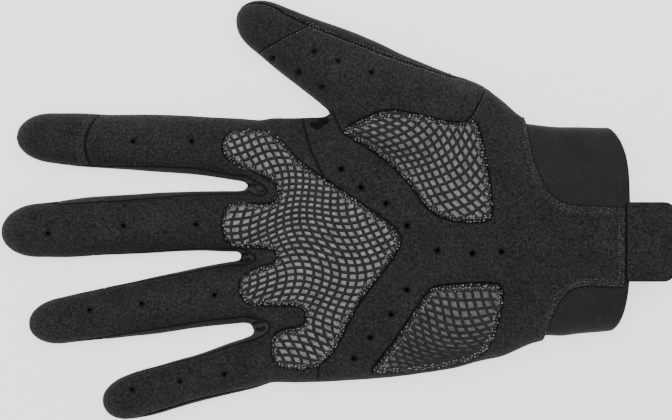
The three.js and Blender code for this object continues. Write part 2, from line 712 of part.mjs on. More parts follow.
// Suede panels of the palm side, parted along their seams and pierced with air holes
const padWindows = Object.values(padOutlines).map((outline) => prism(offset(outline, SEAM_GAP, true)));
const seams = [INDEX_BASE_SEAM, LITTLE_BASE_SEAM, THUMB_WEB_SEAM, THUMB_HEEL_SEAM]
  .map((seam) => slot(seam.map(palmPoint)));
const tipSeams = [[FINGERS.index, INDEX_TIP_SEAM], [FINGERS.thumb, THUMB_TIP_SEAM]]
  .map(([finger, seam]) => slot(seam.map((p) => fingerPoint(finger, p))));
const palmPanels = subtractAll(
  shell.intersect(palmSide).intersect(prism(suedeOutline())),
  [...padWindows, ...seams, ...tipSeams, ...airHoles()],
).decompose();
const suedePanels = [
  { name: "finger_panel", at: fingerPoint(FINGERS.middle, { along: 0.4, across: 0 }) },
  { name: "palm_center_panel", at: palmPoint({ along: 0.96, across: 0 }) },
  { name: "thumb_panel", at: fingerPoint(FINGERS.thumb, { along: 0.6, across: 0 }) },
];
for (const { name, at } of suedePanels) add(name, pick(palmPanels, at, name), suede);
const tipPanels = [
  { name: "index_touch_tip", at: fingerPoint(FINGERS.index, { along: 0.88, across: 0 }) },
  { name: "thumb_touch_tip", at: fingerPoint(FINGERS.thumb, { along: 0.92, across: 0 }) },
];
for (const { name, at } of tipPanels) add(name, pick(palmPanels, at, name), touchSuede);

// Fourchettes between the fingers
const backSide = seamCutter(-1, 0);
const backSideClear = seamCutter(-1, SEAM_GAP);
const edgeBand = shell.subtract(palmSideClear).subtract(backSideClear);
for (const wall of FOURCHETTES)
  add(wall.name, edgeBand.intersect(fourchetteRegion(wall, 0)), knit);

// Back of the hand and of the thumb, which wrap round the outer edges
const fourchetteRoom = FOURCHETTES.map((wall) =>
  fourchetteRegion(wall, SEAM_GAP).subtract(backSide));
const backEnd = cuffPoint({ along: BACK_EDGE, across: 0 })[0];
const beforeCuff = prism([
  [-2 * PALM_LENGTH, -2 * PALM_LENGTH],
  [backEnd, -2 * PALM_LENGTH],
  [backEnd, 2 * PALM_LENGTH],
  [-2 * PALM_LENGTH, 2 * PALM_LENGTH],
]);
const backPanels = subtractAll(
  shell.subtract(palmSideClear).intersect(beforeCuff),
  [...fourchetteRoom, slot(THUMB_BACK_SEAM.map(palmPoint))],
).decompose();
add("back_panel", pick(backPanels, palmPoint({ along: 0.5, across: 0 }), "back_panel"), knit);
add("thumb_back_panel",
  pick(backPanels, fingerPoint(FINGERS.thumb, { along: 0.7, across: 0 }), "thumb_back_panel"), knit);

// Cuff, one layer inside the panels, and the pull tab at its hem
const cuffLevel = -(PANEL_WALL + SEAM_GAP);
const cuffTube = bodyForm(cuffLevel).subtract(bodyForm(cuffLevel - CUFF_WALL));
add("cuff", cuffTube.intersect(prism(hemOutline())), neoprene);
const tabShell = bodyForm(TAB_RISE).subtract(bodyForm(-PANEL_WALL)).intersect(palmSide);
add("pull_tab", tabShell.intersect(prism(tabOutline())), suede);

// The origin is the middle of the glove's plan, on the surface that it lies on.
const bounds = new THREE.Box3().setFromObject(glove);
const centre = bounds.getCenter(new THREE.Vector3());
glove.position.set(-centre.x, -centre.y, -bounds.min.z);

export default glove;
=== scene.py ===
"""Looks of a full-finger cycling glove for the right hand, lying on its back with the palm up.

The hand form is measured in millimetres in the palm's own frame: X runs from the crotch of the
middle finger to the wrist, Y runs towards the thumb and Z upwards from the surface it lies on.
One smooth skin is meshed from that form, and every panel is cut from it along its seams.
"""
import logging
import math
from collections.abc import Callable, Sequence
from dataclasses import dataclass, field, replace
from enum import Enum
from typing import NamedTuple

import bpy
import numpy as np
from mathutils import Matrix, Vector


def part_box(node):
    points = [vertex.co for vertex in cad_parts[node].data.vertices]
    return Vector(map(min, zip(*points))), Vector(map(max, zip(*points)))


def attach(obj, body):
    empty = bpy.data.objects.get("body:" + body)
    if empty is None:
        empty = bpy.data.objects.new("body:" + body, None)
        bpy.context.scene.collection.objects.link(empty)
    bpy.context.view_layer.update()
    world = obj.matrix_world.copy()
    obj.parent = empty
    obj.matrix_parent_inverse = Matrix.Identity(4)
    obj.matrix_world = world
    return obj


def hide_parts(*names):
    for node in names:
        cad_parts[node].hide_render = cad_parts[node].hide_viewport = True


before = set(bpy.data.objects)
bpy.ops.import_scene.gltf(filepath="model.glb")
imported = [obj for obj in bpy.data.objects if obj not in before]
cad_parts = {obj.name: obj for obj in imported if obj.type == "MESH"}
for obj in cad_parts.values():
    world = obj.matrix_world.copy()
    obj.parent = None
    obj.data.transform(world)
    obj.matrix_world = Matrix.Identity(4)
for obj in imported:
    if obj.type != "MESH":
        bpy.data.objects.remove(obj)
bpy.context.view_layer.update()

import openvdb

logging.basicConfig(level=logging.INFO, format="%(message)s")
log = logging.getLogger("glove")

Array = np.ndarray
Marks = dict[str, Array]
Shares = Sequence[tuple[float, float]]
MM = 0.001


# Sizes of the hand form, in millimetres
PALM_LENGTH = 100.0
PALM_WIDTH = 92.0
PALM_THICKNESS = 26.0
WRIST_WIDTH = 72.0
WRIST_THICKNESS = 25.0
CUFF_LENGTH = 36.0
TAB_REACH = 15.5
TAB_WIDTH = 27.5
TAB_CORNER = 4.0
HEM_BOW = 6.0
HEM_BEND = 4.5
HEM_THUMB_END = 1.05
HEM_LITTLE_END = 0.99
HEM_LITTLE_SHARE = 0.65
WRIST_MID = 0.078
TONGUE_MID = -0.054
THUMB_SLOPE = 0.2
TAB_LAP = 1.6
CUFF_TUCK = 4.5
BACK_EDGE = 0.11
BACK_SLANT = 0.08
BACK_TURN = 12.0

# Form of a cross section
WAIST = 0.46
SETTLE = 2.0
FINGER_ROUND = 2.15
PALM_ROUND = 2.5
BODY_SEAM = 5.0
WEB_SETBACK = 0.05
WEB_DEPTH = 0.12
SEAM_MARGIN = 0.9

# Walls and seams
PANEL_WALL = 1.5
CUFF_LEVEL = 1.8
CUFF_WALL = 2.2
SEAM_HALF = 0.02
PALM_HOLE = 1.8
FINGER_HOLE = 1.5

# Meshing
VOXEL = 0.8
FIELD_BAND = 2.4
PLAN_LOW = (-90.0, -65.0)
PLAN_HIGH = (160.0, 94.0)
HEIGHT_LOW = -3.2
HEIGHT_HIGH = 32.0
FAR = 1e9
SLIVER = 0.02
NEIGHBOUR_SHARE = 0.6
SHARP_ANGLE = 48.0

# Blur of a table's column, in steps to its reach and in reaches
BLUR_STEPS = 4
BLUR_REACHES = 3
BLUR_MARGIN = 4

# How finely outlines are rounded
CORNER_CUTS = 2
CURVE_STEPS = 6
TAB_CORNER_POINTS = 7


class FingerRow(NamedTuple):
    """One station of a finger: shares of its length, width and thickness, and its seams' angles."""

    along: float
    drift: float
    wide: float
    high: float
    thumb_seam: float
    little_seam: float


class BodyRow(NamedTuple):
    """One station of the palm or cuff: shares of the length, width and thickness there."""

    along: float
    little_edge: float
    thumb_edge: float
    high: float


def smooth_column(stations: Array, values: Array, reach: float) -> Callable[[Array], Array]:
    """Reads a column of a table smoothly between its rows.

    Args:
        stations: where the rows are, rising.
        values: the column.
        reach: how far the corners at the rows are blurred, in the stations' unit.

    Returns:
        A function of a position.
    """
    margin, half = BLUR_MARGIN * reach, BLUR_REACHES * BLUR_STEPS
    fine = np.arange(stations[0] - margin, stations[-1] + margin, reach / BLUR_STEPS)
    line = np.interp(fine, stations, values)
    kernel = np.exp(-0.5 * (np.arange(-half, half + 1) / BLUR_STEPS) ** 2)
    soft = np.convolve(np.pad(line, half, mode="edge"), kernel / kernel.sum(), "valid")
    return lambda at: np.interp(at, fine, soft)


@dataclass
class Slice:
    """Where plan points lie in one part of the hand, and the part's cross section there."""

    beside: Array
    half: Array
    top: Array
    thumb_lean: Array
    little_lean: Array
    past: Array
    within: Array
    roundness: float

    def level(self, z: Array) -> Array:
        """Rough distance outside the part's surface.

        Args:
            z: the points' heights.

        Returns:
            The distances, negative inside.
        """
        waist = WAIST * self.top
        rise = np.where(z > waist, self.top - waist, waist + SETTLE)
        power = self.roundness
        ring = np.abs(self.beside / self.half) ** power + np.abs((z - waist) / rise) ** power
        reach = np.sqrt(ring ** (2 / power) + self.past**2)
        return (reach - 1) * np.minimum(self.half, self.top / 2)

    def seam(self, z: Array, up: float) -> Array:
        """How far points lie past the part's seam, on the palm side (up is 1) or back side (-1).

        Args:
            z: the points' heights.
            up: 1 for the palm side or -1 for the back side.

        Returns:
            The distances, positive on that side and within the part.
        """
        waist = WAIST * self.top
        pivot = np.maximum(self.half - (self.top - waist), 0)
        lean = np.where(self.beside > 0, self.thumb_lean, self.little_lean)
        climb = np.maximum(np.abs(self.beside) - pivot, 0) * lean
        side = up * (z - waist) - climb
        room = self.half + SEAM_MARGIN - np.abs(self.beside)
        return np.minimum(side, np.minimum(room, self.within))


@dataclass(frozen=True)
class Finger:
    """A finger of the glove, straight from its root, with a rounded tip."""

    root_along: float
    root_across: float
    heading: float
    length: float
    width: float
    thickness: float
    cap: float
    rows: tuple[FingerRow, ...]
    blur: float = 2.5
    root_cap: float = 6.0
    tip_seam: float = 0.0
    tip_narrow: float = 0.93
    tip_margin: float = 4.0

    @property
    def root(self) -> Array:
        """The root's place in plan."""
        return np.array([self.root_along * PALM_LENGTH, self.root_across * PALM_WIDTH])

    @property
    def forward(self) -> Array:
        """The direction of the tip in plan."""
        turn = math.radians(self.heading)
        return np.array([-math.cos(turn), math.sin(turn)])

    @property
    def side(self) -> Array:
        """The direction across the finger in plan, towards the thumb."""
        turn = math.radians(self.heading)
        return np.array([math.sin(turn), math.cos(turn)])

    @property
    def cap_start(self) -> float:
        """Where the rounded tip starts, in millimetres from the root."""
        return self.length - self.cap * self.width

    def point(self, along: float, across: float) -> Array:
        """A plan point on the finger.

        Args:
            along: the share of its length.
            across: the share of its width.

        Returns:
            The point.
        """
        return (
            self.root
            + self.forward * (along * self.length)
            + self.side * (across * self.width)
        )

    def shares(self, x: Array, y: Array) -> tuple[Array, Array]:
        """Plan points as shares of the finger's length and width.

        Args:
            x: the points' X.
            y: the points' Y.

        Returns:
            The shares along and across the finger.
        """
        dx, dy = x - self.root[0], y - self.root[1]
        ahead = dx * self.forward[0] + dy * self.forward[1]
        beside = dx * self.side[0] + dy * self.side[1]
        return ahead / self.length, beside / self.width

    def slice_at(self, x: Array, y: Array) -> Slice:
        """The finger's sections at plan points.

        Args:
            x: the points' X.
            y: the points' Y.

        Returns:
            The sections.
        """
        along, across = self.shares(x, y)
        ahead = along * self.length
        last = self.rows[-1]
        end = last._replace(
            along=self.cap_start / self.length, wide=last.wide * self.tip_narrow,
            thumb_seam=self.tip_seam, little_seam=0,
        )
        table = np.array([*self.rows, end])
        table[:, 0] *= self.length
        columns = [smooth_column(table[:, 0], table[:, k], self.blur) for k in range(1, 6)]
        drift, wide, high, thumb, little = [column(ahead) for column in columns]
        start = table[0, 0]
        tip = np.maximum(ahead - self.cap_start, 0) / (self.cap * self.width)
        heel = np.maximum(start - ahead, 0) / self.root_cap
        return Slice(
            beside=(across - drift) * self.width,
            half=wide * self.width / 2,
            top=high * self.thickness,
            thumb_lean=np.tan(np.radians(thumb)),
            little_lean=np.tan(np.radians(little)),
            past=tip + heel,
            within=np.minimum(ahead - start, self.length + self.tip_margin - ahead),
            roundness=FINGER_ROUND,
        )


FINGERS: dict[str, Finger] = {
    "index": Finger(
        0.017, 0.381, 3.2, 80, 22, 16.5, 0.56,
        (
            FingerRow(-0.18, -0.04, 1.0, 1.12, 6, 24),
            FingerRow(0.0, 0.01, 1.0, 1.06, 6, 30),
            FingerRow(0.22, 0.054, 0.93, 1.0, 6, 38),
            FingerRow(0.4, 0.049, 0.92, 0.98, 6, 33),
            FingerRow(0.58, 0.034, 0.865, 0.95, 6, 24),
            FingerRow(0.75, 0.034, 0.845, 0.91, 4, 10),
        ),
    ),
    "middle": Finger(
        0.02, 0.111, -3.1, 85.5, 21.6, 17, 0.6,
        (
            FingerRow(-0.18, 0.0, 1.0, 1.12, 24, 30),
            FingerRow(0.0, 0.0, 1.0, 1.06, 24, 30),
            FingerRow(0.18, 0.052, 0.965, 1.0, 28, 24),
            FingerRow(0.35, 0.06, 0.98, 0.98, 36, 18),
            FingerRow(0.59, 0.064, 0.97, 0.95, 40, 12),
            FingerRow(0.76, 0.036, 0.935, 0.91, 30, 6),
        ),
    ),
    "ring": Finger(
        0.004, -0.158, -9.4, 75, 22, 16.5, 0.52,
        (
            FingerRow(-0.2, 0.0, 1.0, 1.12, 26, 40),
            FingerRow(0.0, 0.0, 1.0, 1.06, 26, 40),
            FingerRow(0.16, 0.016, 0.955, 1.0, 28, 38),
            FingerRow(0.35, 0.01, 0.92, 0.97, 22, 38),
            FingerRow(0.54, 0.01, 0.85, 0.93, 14, 33),
            FingerRow(0.74, 0.012, 0.78, 0.89, 6, 20),
        ),
    ),
    "little": Finger(
        0.055, -0.423, -15.8, 55.5, 17.9, 15, 0.53,
        (
            FingerRow(-0.24, 0.05, 1.0, 1.12, 32, 14),
            FingerRow(0.0, 0.0, 1.0, 1.06, 32, 16),
            FingerRow(0.13, -0.01, 0.975, 1.0, 30, 24),
            FingerRow(0.38, -0.022, 0.9, 0.97, 24, 32),
            FingerRow(0.63, -0.022, 0.9, 0.93, 10, 30),
            FingerRow(0.76, -0.015, 0.9, 0.91, 6, 24),
        ),
    ),
    "thumb": Finger(
        0.764, 0.417, 29.9, 89, 40, 28, 0.31,
        (
            FingerRow(0.0, 0.0, 1.0, 0.86, 16, 4),
            FingerRow(0.13, 0.004, 0.96, 0.99, 22, 4),
            FingerRow(0.35, 0.0, 0.85, 1.0, 36, 4),
            FingerRow(0.44, 0.022, 0.77, 0.96, 42, 4),
            FingerRow(0.535, 0.038, 0.69, 0.88, 46, 4),
            FingerRow(0.625, 0.036, 0.632, 0.78, 48, 4),
            FingerRow(0.74, 0.028, 0.557, 0.69, 48, 4),
            FingerRow(0.835, 0.036, 0.49, 0.63, 46, 4),
        ),
        tip_seam=38.0,
    ),
}

PALM_ROWS = (
    BodyRow(0.01, -0.09, 0.04, 0.3),
    BodyRow(0.02, -0.22, 0.2, 0.46),
    BodyRow(0.035, -0.26, 0.3, 0.6),
    BodyRow(0.065, -0.33, 0.48, 0.7),
    BodyRow(0.11, -0.497, 0.504, 0.77),
    BodyRow(0.18, -0.503, 0.505, 0.82),
    BodyRow(0.3, -0.498, 0.508, 0.88),
    BodyRow(0.35, -0.494, 0.53, 0.9),
    BodyRow(0.52, -0.48, 0.53, 0.96),
    BodyRow(0.68, -0.46, 0.61, 1.0),
    BodyRow(0.77, -0.442, 0.66, 1.0),
    BodyRow(0.85, -0.418, 0.63, 1.0),
    BodyRow(0.92, -0.402, 0.575, 0.99),
)
CUFF_ROWS = (
    BodyRow(-0.03, -0.572, 0.545, 1.02),
    BodyRow(0.06, -0.55, 0.54, 1.0),
    BodyRow(0.22, -0.532, 0.53, 0.99),
    BodyRow(0.34, -0.54, 0.525, 0.98),
    BodyRow(1.5, -0.475, 0.525, 0.98),
)


@dataclass(frozen=True)
class Body:
    """The palm and cuff, lofted from the crotches to past the hem."""

    blur: float = 1.6
    front_cap: float = 3.0
    front_lap: float = 0.4

    def slice_at(self, x: Array, y: Array) -> Slice:
        """The body's sections at plan points.

        Args:
            x: the points' X.
            y: the points' Y.

        Returns:
            The sections.
        """
        wrist = WRIST_MID * PALM_WIDTH
        rows = [
            (
                row.along * PALM_LENGTH,
                row.little_edge * PALM_WIDTH,
                row.thumb_edge * PALM_WIDTH,
                row.high * PALM_THICKNESS,
            )
            for row in PALM_ROWS
        ] + [
            (
                PALM_LENGTH + row.along * CUFF_LENGTH,
                wrist + row.little_edge * WRIST_WIDTH,
                wrist + row.thumb_edge * WRIST_WIDTH,
                row.high * WRIST_THICKNESS,
            )
            for row in CUFF_ROWS
        ]
        table = np.array(rows)
        low, high, top = [smooth_column(table[:, 0], table[:, k], self.blur)(x) for k in (1, 2, 3)]
        front = np.maximum(table[0, 0] + self.front_cap - self.front_lap - x, 0) / self.front_cap
        lean = np.full(np.shape(x), math.tan(math.radians(BODY_SEAM)))
        return Slice(
            beside=y - (low + high) / 2,
            half=(high - low) / 2,
            top=top,
            thumb_lean=lean,
            little_lean=lean,
            past=front + np.maximum(x - table[-1, 0], 0) / self.front_cap,
            within=x - WEB_SETBACK * PALM_LENGTH,
            roundness=PALM_ROUND,
        )


def blend_least(a: Array, b: Array, reach: float) -> Array:
    """The smaller of two fields, with the crease between them rounded over reach."""
    share = np.clip(0.5 + 0.5 * (b - a) / reach, 0, 1)
    return b * (1 - share) + a * share - reach * share * (1 - share)


def loop_distance(x: Array, y: Array, loop: Array) -> Array:
    """Signed distance of plan points from a closed outline, positive inside.

    Args:
        x: the points' X.
        y: the points' Y.
        loop: the outline's corners, one row each.

    Returns:
        The distances.
    """
    nearest = np.full(x.shape, FAR)
    inside = np.zeros(x.shape, bool)
    for a, b in zip(loop, np.roll(loop, -1, axis=0)):
        nearest = np.minimum(nearest, segment_distance(x, y, a, b))
        if a[1] == b[1]:
            continue
        spans = (a[1] > y) != (b[1] > y)
        crossing = a[0] + (y - a[1]) * (b[0] - a[0]) / (b[1] - a[1])
        inside ^= spans & (x < crossing)
    return np.where(inside, nearest, -nearest)


def segment_distance(x: Array, y: Array, a: Array, b: Array) -> Array:
    """Distance of plan points from a segment.

    Args:
        x: the points' X.
        y: the points' Y.
        a: the segment's start.
        b: its end.

    Returns:
        The distances.
    """
    run = b - a
    share = ((x - a[0]) * run[0] + (y - a[1]) * run[1]) / max(float(run @ run), 1e-9)
    share = np.clip(share, 0, 1)
    return np.hypot(x - a[0] - share * run[0], y - a[1] - share * run[1])


def path_distance(x: Array, y: Array, path: Array) -> Array:
    """Distance of plan points from an open path.

    Args:
        x: the points' X.
        y: the points' Y.
        path: the path's corners, one row each.

    Returns:
        The distances.
    """
    nearest = np.full(x.shape, FAR)
    for a, b in zip(path[:-1], path[1:]):
        nearest = np.minimum(nearest, segment_distance(x, y, a, b))
    return nearest


def palm_points(shares: Shares) -> Array:
    """Plan points from shares of the palm's length and width."""
    return np.array(shares) * (PALM_LENGTH, PALM_WIDTH)


def cuff_points(shares: Shares) -> Array:
    """Plan points from shares of the cuff's length past the wrist and of the wrist's width."""
    middle = WRIST_MID * PALM_WIDTH
    return np.array(shares) * (CUFF_LENGTH, WRIST_WIDTH) + (PALM_LENGTH, middle)


def rounded(points: Array, times: int, closed: bool = True) -> Array:
    """Rounds an outline by cutting its corners.

    Args:
        points: the outline's corners, one row each.
        times: how many times they are cut.
        closed: whether the outline closes on itself.

    Returns:
        The rounded outline.
    """
    for _ in range(times):
        after = np.roll(points, -1, axis=0)
        near, far = points * 0.75 + after * 0.25, points * 0.25 + after * 0.75
        cut = np.stack([near, far], axis=1).reshape(-1, 2)
        points = cut if closed else np.vstack([points[:1], cut[:-2], points[-1:]])
    return points


def smooth_loop(points: Array, steps: int) -> Array:
    """A smooth closed curve through plan points.

    Args:
        points: the points, one row each.
        steps: how many steps lie between each two of them.

    Returns:
        The curve's points.
    """
    count = len(points)
    out = []
    for i in range(count):
        p = [points[(i + k) % count] for k in (-1, 0, 1, 2)]
        gaps = [max(np.hypot(*(p[k + 1] - p[k])) ** 0.5, 1e-4) for k in range(3)]
        near = (p[1] - p[0]) / gaps[0] - (p[2] - p[0]) / (gaps[0] + gaps[1]) + (p[2] - p[1]) / gaps[1]
        far = (p[2] - p[1]) / gaps[1] - (p[3] - p[1]) / (gaps[1] + gaps[2]) + (p[3] - p[2]) / gaps[2]
        near, far = near * gaps[1], far * gaps[1]
        for t in np.arange(steps) / steps:
            out.append(
                p[1]
                + near * t
                + (3 * (p[2] - p[1]) - 2 * near - far) * t**2
                + (2 * (p[1] - p[2]) + near + far) * t**3
            )
    return np.array(out)


class PadLobe(NamedTuple):
    """One lobe of the knuckle pad and the bay behind the next crotch, as shares of the palm."""

    reach: float
    thumb_edge: float
    little_edge: float
    bay: float | None = None
    bay_from: float = 0.0
    bay_to: float = 0.0


class Fork(NamedTuple):
    """A fourchette's two fingers, and how far along each it reaches as a share of its length."""

    upper: str
    lower: str
    upper_reach: float
    lower_reach: float

    @property
    def mark(self) -> str:
        """The name of its mark on the skin."""
        return f"fork_{self.upper}"


FORKS = (
    Fork("index", "middle", 0.74, 0.8),
    Fork("middle", "ring", 0.66, 0.6),
    Fork("ring", "little", 0.76, 0.62),
)


@dataclass(frozen=True)
class Cut:
    """The plan of the glove's seams, as outlines of its panels."""

    lobe_corner: float = 0.03

    def _outside(self, first: float, last: float, far: tuple[float, float], level: float) -> Array:
        """Corners outside the glove that close a panel's outline.

        Args:
            first: X of the first corner.
            last: X of the last corner.
            far: X and Y of the corner that is farthest out.
            level: Y of the last two corners.

        Returns:
            The four corners.
        """
        return np.array([[first, far[1]], list(far), [far[0], level], [last, level]])

    def knuckle_pad(self) -> Array:
        """Outline of the knuckle pad.

        Returns:
            Its points.
        """
        lobes = (
            PadLobe(-0.049, 0.452, 0.335, 0.134, 0.248, 0.19),
            PadLobe(-0.049, 0.178, 0.022, 0.132, -0.002, -0.036),
            PadLobe(0.01, -0.075, -0.2, 0.228, -0.218, -0.275),
            PadLobe(0.122, -0.298, -0.438),
        )
        outline: list[tuple[float, float]] = []
        for lobe in lobes:
            shoulder = lobe.reach + self.lobe_corner
            outline += [
                (shoulder, lobe.thumb_edge),
                (lobe.reach, lobe.thumb_edge - self.lobe_corner),
                (lobe.reach, lobe.little_edge + self.lobe_corner),
                (shoulder, lobe.little_edge),
            ]
            if lobe.bay is not None:
                outline += [(lobe.bay, lobe.bay_from), (lobe.bay, lobe.bay_to)]
        outline += [
            (0.206, -0.447), (0.276, -0.432), (0.325, -0.39), (0.417, -0.205), (0.535, -0.03),
            (0.566, 0.036), (0.55, 0.08), (0.385, 0.213), (0.214, 0.342), (0.144, 0.426),
            (0.105, 0.45),
        ]
        return smooth_loop(palm_points(outline), CURVE_STEPS)

    def thenar_pad(self) -> Array:
        """Outline of the pad at the ball of the thumb.

        Returns:
            Its points.
        """
        return rounded(palm_points([
            (0.355, 0.45), (0.41, 0.487), (0.515, 0.537), (0.63, 0.512), (0.765, 0.477),
            (0.822, 0.498), (0.84, 0.45), (0.872, 0.277), (0.886, 0.133), (0.855, 0.107),
            (0.765, 0.108), (0.667, 0.137), (0.586, 0.268), (0.497, 0.355), (0.408, 0.418),
        ]), CORNER_CUTS)

    def hypothenar_pad(self) -> Array:
        """Outline of the pad at the heel of the hand.

        Returns:
            Its points.
        """
        return rounded(palm_points([
            (0.456, -0.456), (0.54, -0.344), (0.6, -0.243), (0.662, -0.141), (0.7, -0.124),
            (0.845, -0.116), (0.915, -0.121), (0.921, -0.19), (0.889, -0.319), (0.865, -0.372),
            (0.82, -0.405), (0.69, -0.441), (0.48, -0.461),
        ]), CORNER_CUTS)

    def fingers(self) -> Array:
        """Everything on the fingers' side of the base seams.

        Returns:
            The outline.
        """
        seam = palm_points([
            (0.224, 0.54), (0.231, 0.47), (0.252, 0.385), (0.3, 0.276), (0.315, 0.24),
            (0.36, 0.1), (0.36, -0.2), (0.285, -0.4), (0.281, -0.44), (0.275, -0.56),
        ])
        outside = self._outside(first=22.4, last=22.4, far=(-200.0, -120.0), level=52.0)
        return np.vstack([seam, outside])

    def thumb(self) -> Array:
        """Everything on the thumb's side of its seams on the palm.

        Returns:
            The outline.
        """
        seam = palm_points([
            (0.325, 0.53), (0.345, 0.487), (0.36, 0.45), (0.45, 0.43), (0.775, 0.44),
            (0.795, 0.487), (0.822, 0.525), (0.857, 0.6), (0.875, 0.68),
        ])
        outside = self._outside(first=95.0, last=29.0, far=(-100.0, 140.0), level=49.2)
        return np.vstack([seam, outside])

    def thumb_back(self) -> Array:
        """Everything on the thumb's side of its seam on the back.

        Returns:
            The outline.
        """
        seam = palm_points([
            (0.3, 0.53), (0.36, 0.5), (0.48, 0.53), (0.68, 0.56), (0.85, 0.6), (0.9, 0.66),
        ])
        outside = self._outside(first=95.0, last=25.0, far=(-100.0, 140.0), level=52.4)
        return np.vstack([seam, outside])

    def tongue_edges(self) -> tuple[Array, Array]:
        """Edges of the suede over the cuff.

        Returns:
            The edge on the thumb's side, and that on the little finger's side.
        """
        thumb_side = cuff_points([
            (-0.01, 0.65), (0.02, 0.5), (0.045, 0.41), (0.09, 0.32), (0.16, 0.23),
            (0.28, 0.153), (0.4, 0.126), (0.58, 0.121), (0.8, 0.119), (0.93, 0.117),
        ])
        little_side = cuff_points([
            (0.93, -0.275), (0.75, -0.272), (0.55, -0.268), (0.43, -0.285), (0.34, -0.33),
            (0.27, -0.395), (0.22, -0.47), (0.18, -0.55), (0.16, -0.7),
        ])
        return thumb_side, little_side

    def suede(self) -> Array:
        """The whole palm side and the tongue that runs over the cuff to the tab.

        Returns:
            The outline.
        """
        end = PALM_LENGTH + CUFF_LENGTH - TAB_LAP
        middle = WRIST_MID * PALM_WIDTH + TONGUE_MID * WRIST_WIDTH
        thumb_side, little_side = self.tongue_edges()
        far = 200.0
        return np.vstack([
            [[-far, far], [thumb_side[0][0], far]],
            rounded(thumb_side, CORNER_CUTS, closed=False),
            [[end, middle + TAB_WIDTH / 2], [end, middle - TAB_WIDTH / 2]],
            rounded(little_side, CORNER_CUTS, closed=False),
            [[little_side[-1][0], -far], [-far, -far]],
        ])

    def tab(self) -> Array:
        """Outline of the pull tab.

        Returns:
            Its points.
        """
        root = PALM_LENGTH + CUFF_LENGTH - TAB_LAP
        end = PALM_LENGTH + CUFF_LENGTH + TAB_REACH
        middle = WRIST_MID * PALM_WIDTH + TONGUE_MID * WRIST_WIDTH
        half = TAB_WIDTH / 2
        turns = np.radians(np.linspace(0, 90, TAB_CORNER_POINTS))
        x = end - TAB_CORNER + TAB_CORNER * np.sin(turns)
        y = half - TAB_CORNER + TAB_CORNER * np.cos(turns)
        return np.vstack([
            [[root, middle + half]],
            np.column_stack([x, middle + y]),
            np.column_stack([x, middle - y])[::-1],
            [[root, middle - half]],
        ])

    def fourchette(self, fork: Fork) -> Array:
        """The plan between two neighbouring fingers, from near their tips to behind the crotch.

        Args:
            fork: the fingers and how far along them it reaches.

        Returns:
            The outline.
        """
        upper, lower = FINGERS[fork.upper], FINGERS[fork.lower]
        depth = WEB_DEPTH * PALM_LENGTH
        return np.array([
            upper.point(fork.upper_reach, 0), [depth, upper.root[1]], [depth, lower.root[1]],
            lower.point(fork.lower_reach, 0),
        ])


INDEX_TIP_SEAM = (
    (0.62, 0.75), (0.643, 0.45), (0.664, 0.3), (0.68, 0.17), (0.688, 0.05), (0.689, -0.06),
    (0.682, -0.2), (0.668, -0.35), (0.648, -0.55), (0.63, -0.75),
)
THUMB_TIP_SEAM = (
    (0.66, 0.75), (0.68, 0.42), (0.732, 0.213), (0.79, 0.02), (0.847, -0.2), (0.862, -0.3),
    (0.87, -0.75),
)
PALM_HOLES = (
    (0.36, 0.31), (0.428, 0.24), (0.514, 0.18), (0.586, 0.097), (0.691, 0.004),
    (0.811, -0.008), (0.912, -0.001), (0.585, -0.144), (0.531, -0.238), (0.46, -0.326),
    (0.403, -0.406),
)
FINGER_HOLES = {
    "index": ((0.225, 0.1), (0.48, 0.05)),
    "middle": ((0.195, 0.0), (0.49, 0.04), (0.8, -0.02)),
    "ring": ((0.115, 0.03), (0.455, 0.08), (0.7, 0.12)),
    "little": ((0.2, -0.06), (0.48, 0.04), (0.785, 0.14)),
    "thumb": (
        (0.79, -0.185), (0.672, -0.18), (0.66, 0.05), (0.565, -0.19), (0.56, 0.08),
        (0.425, 0.135),
    ),
}


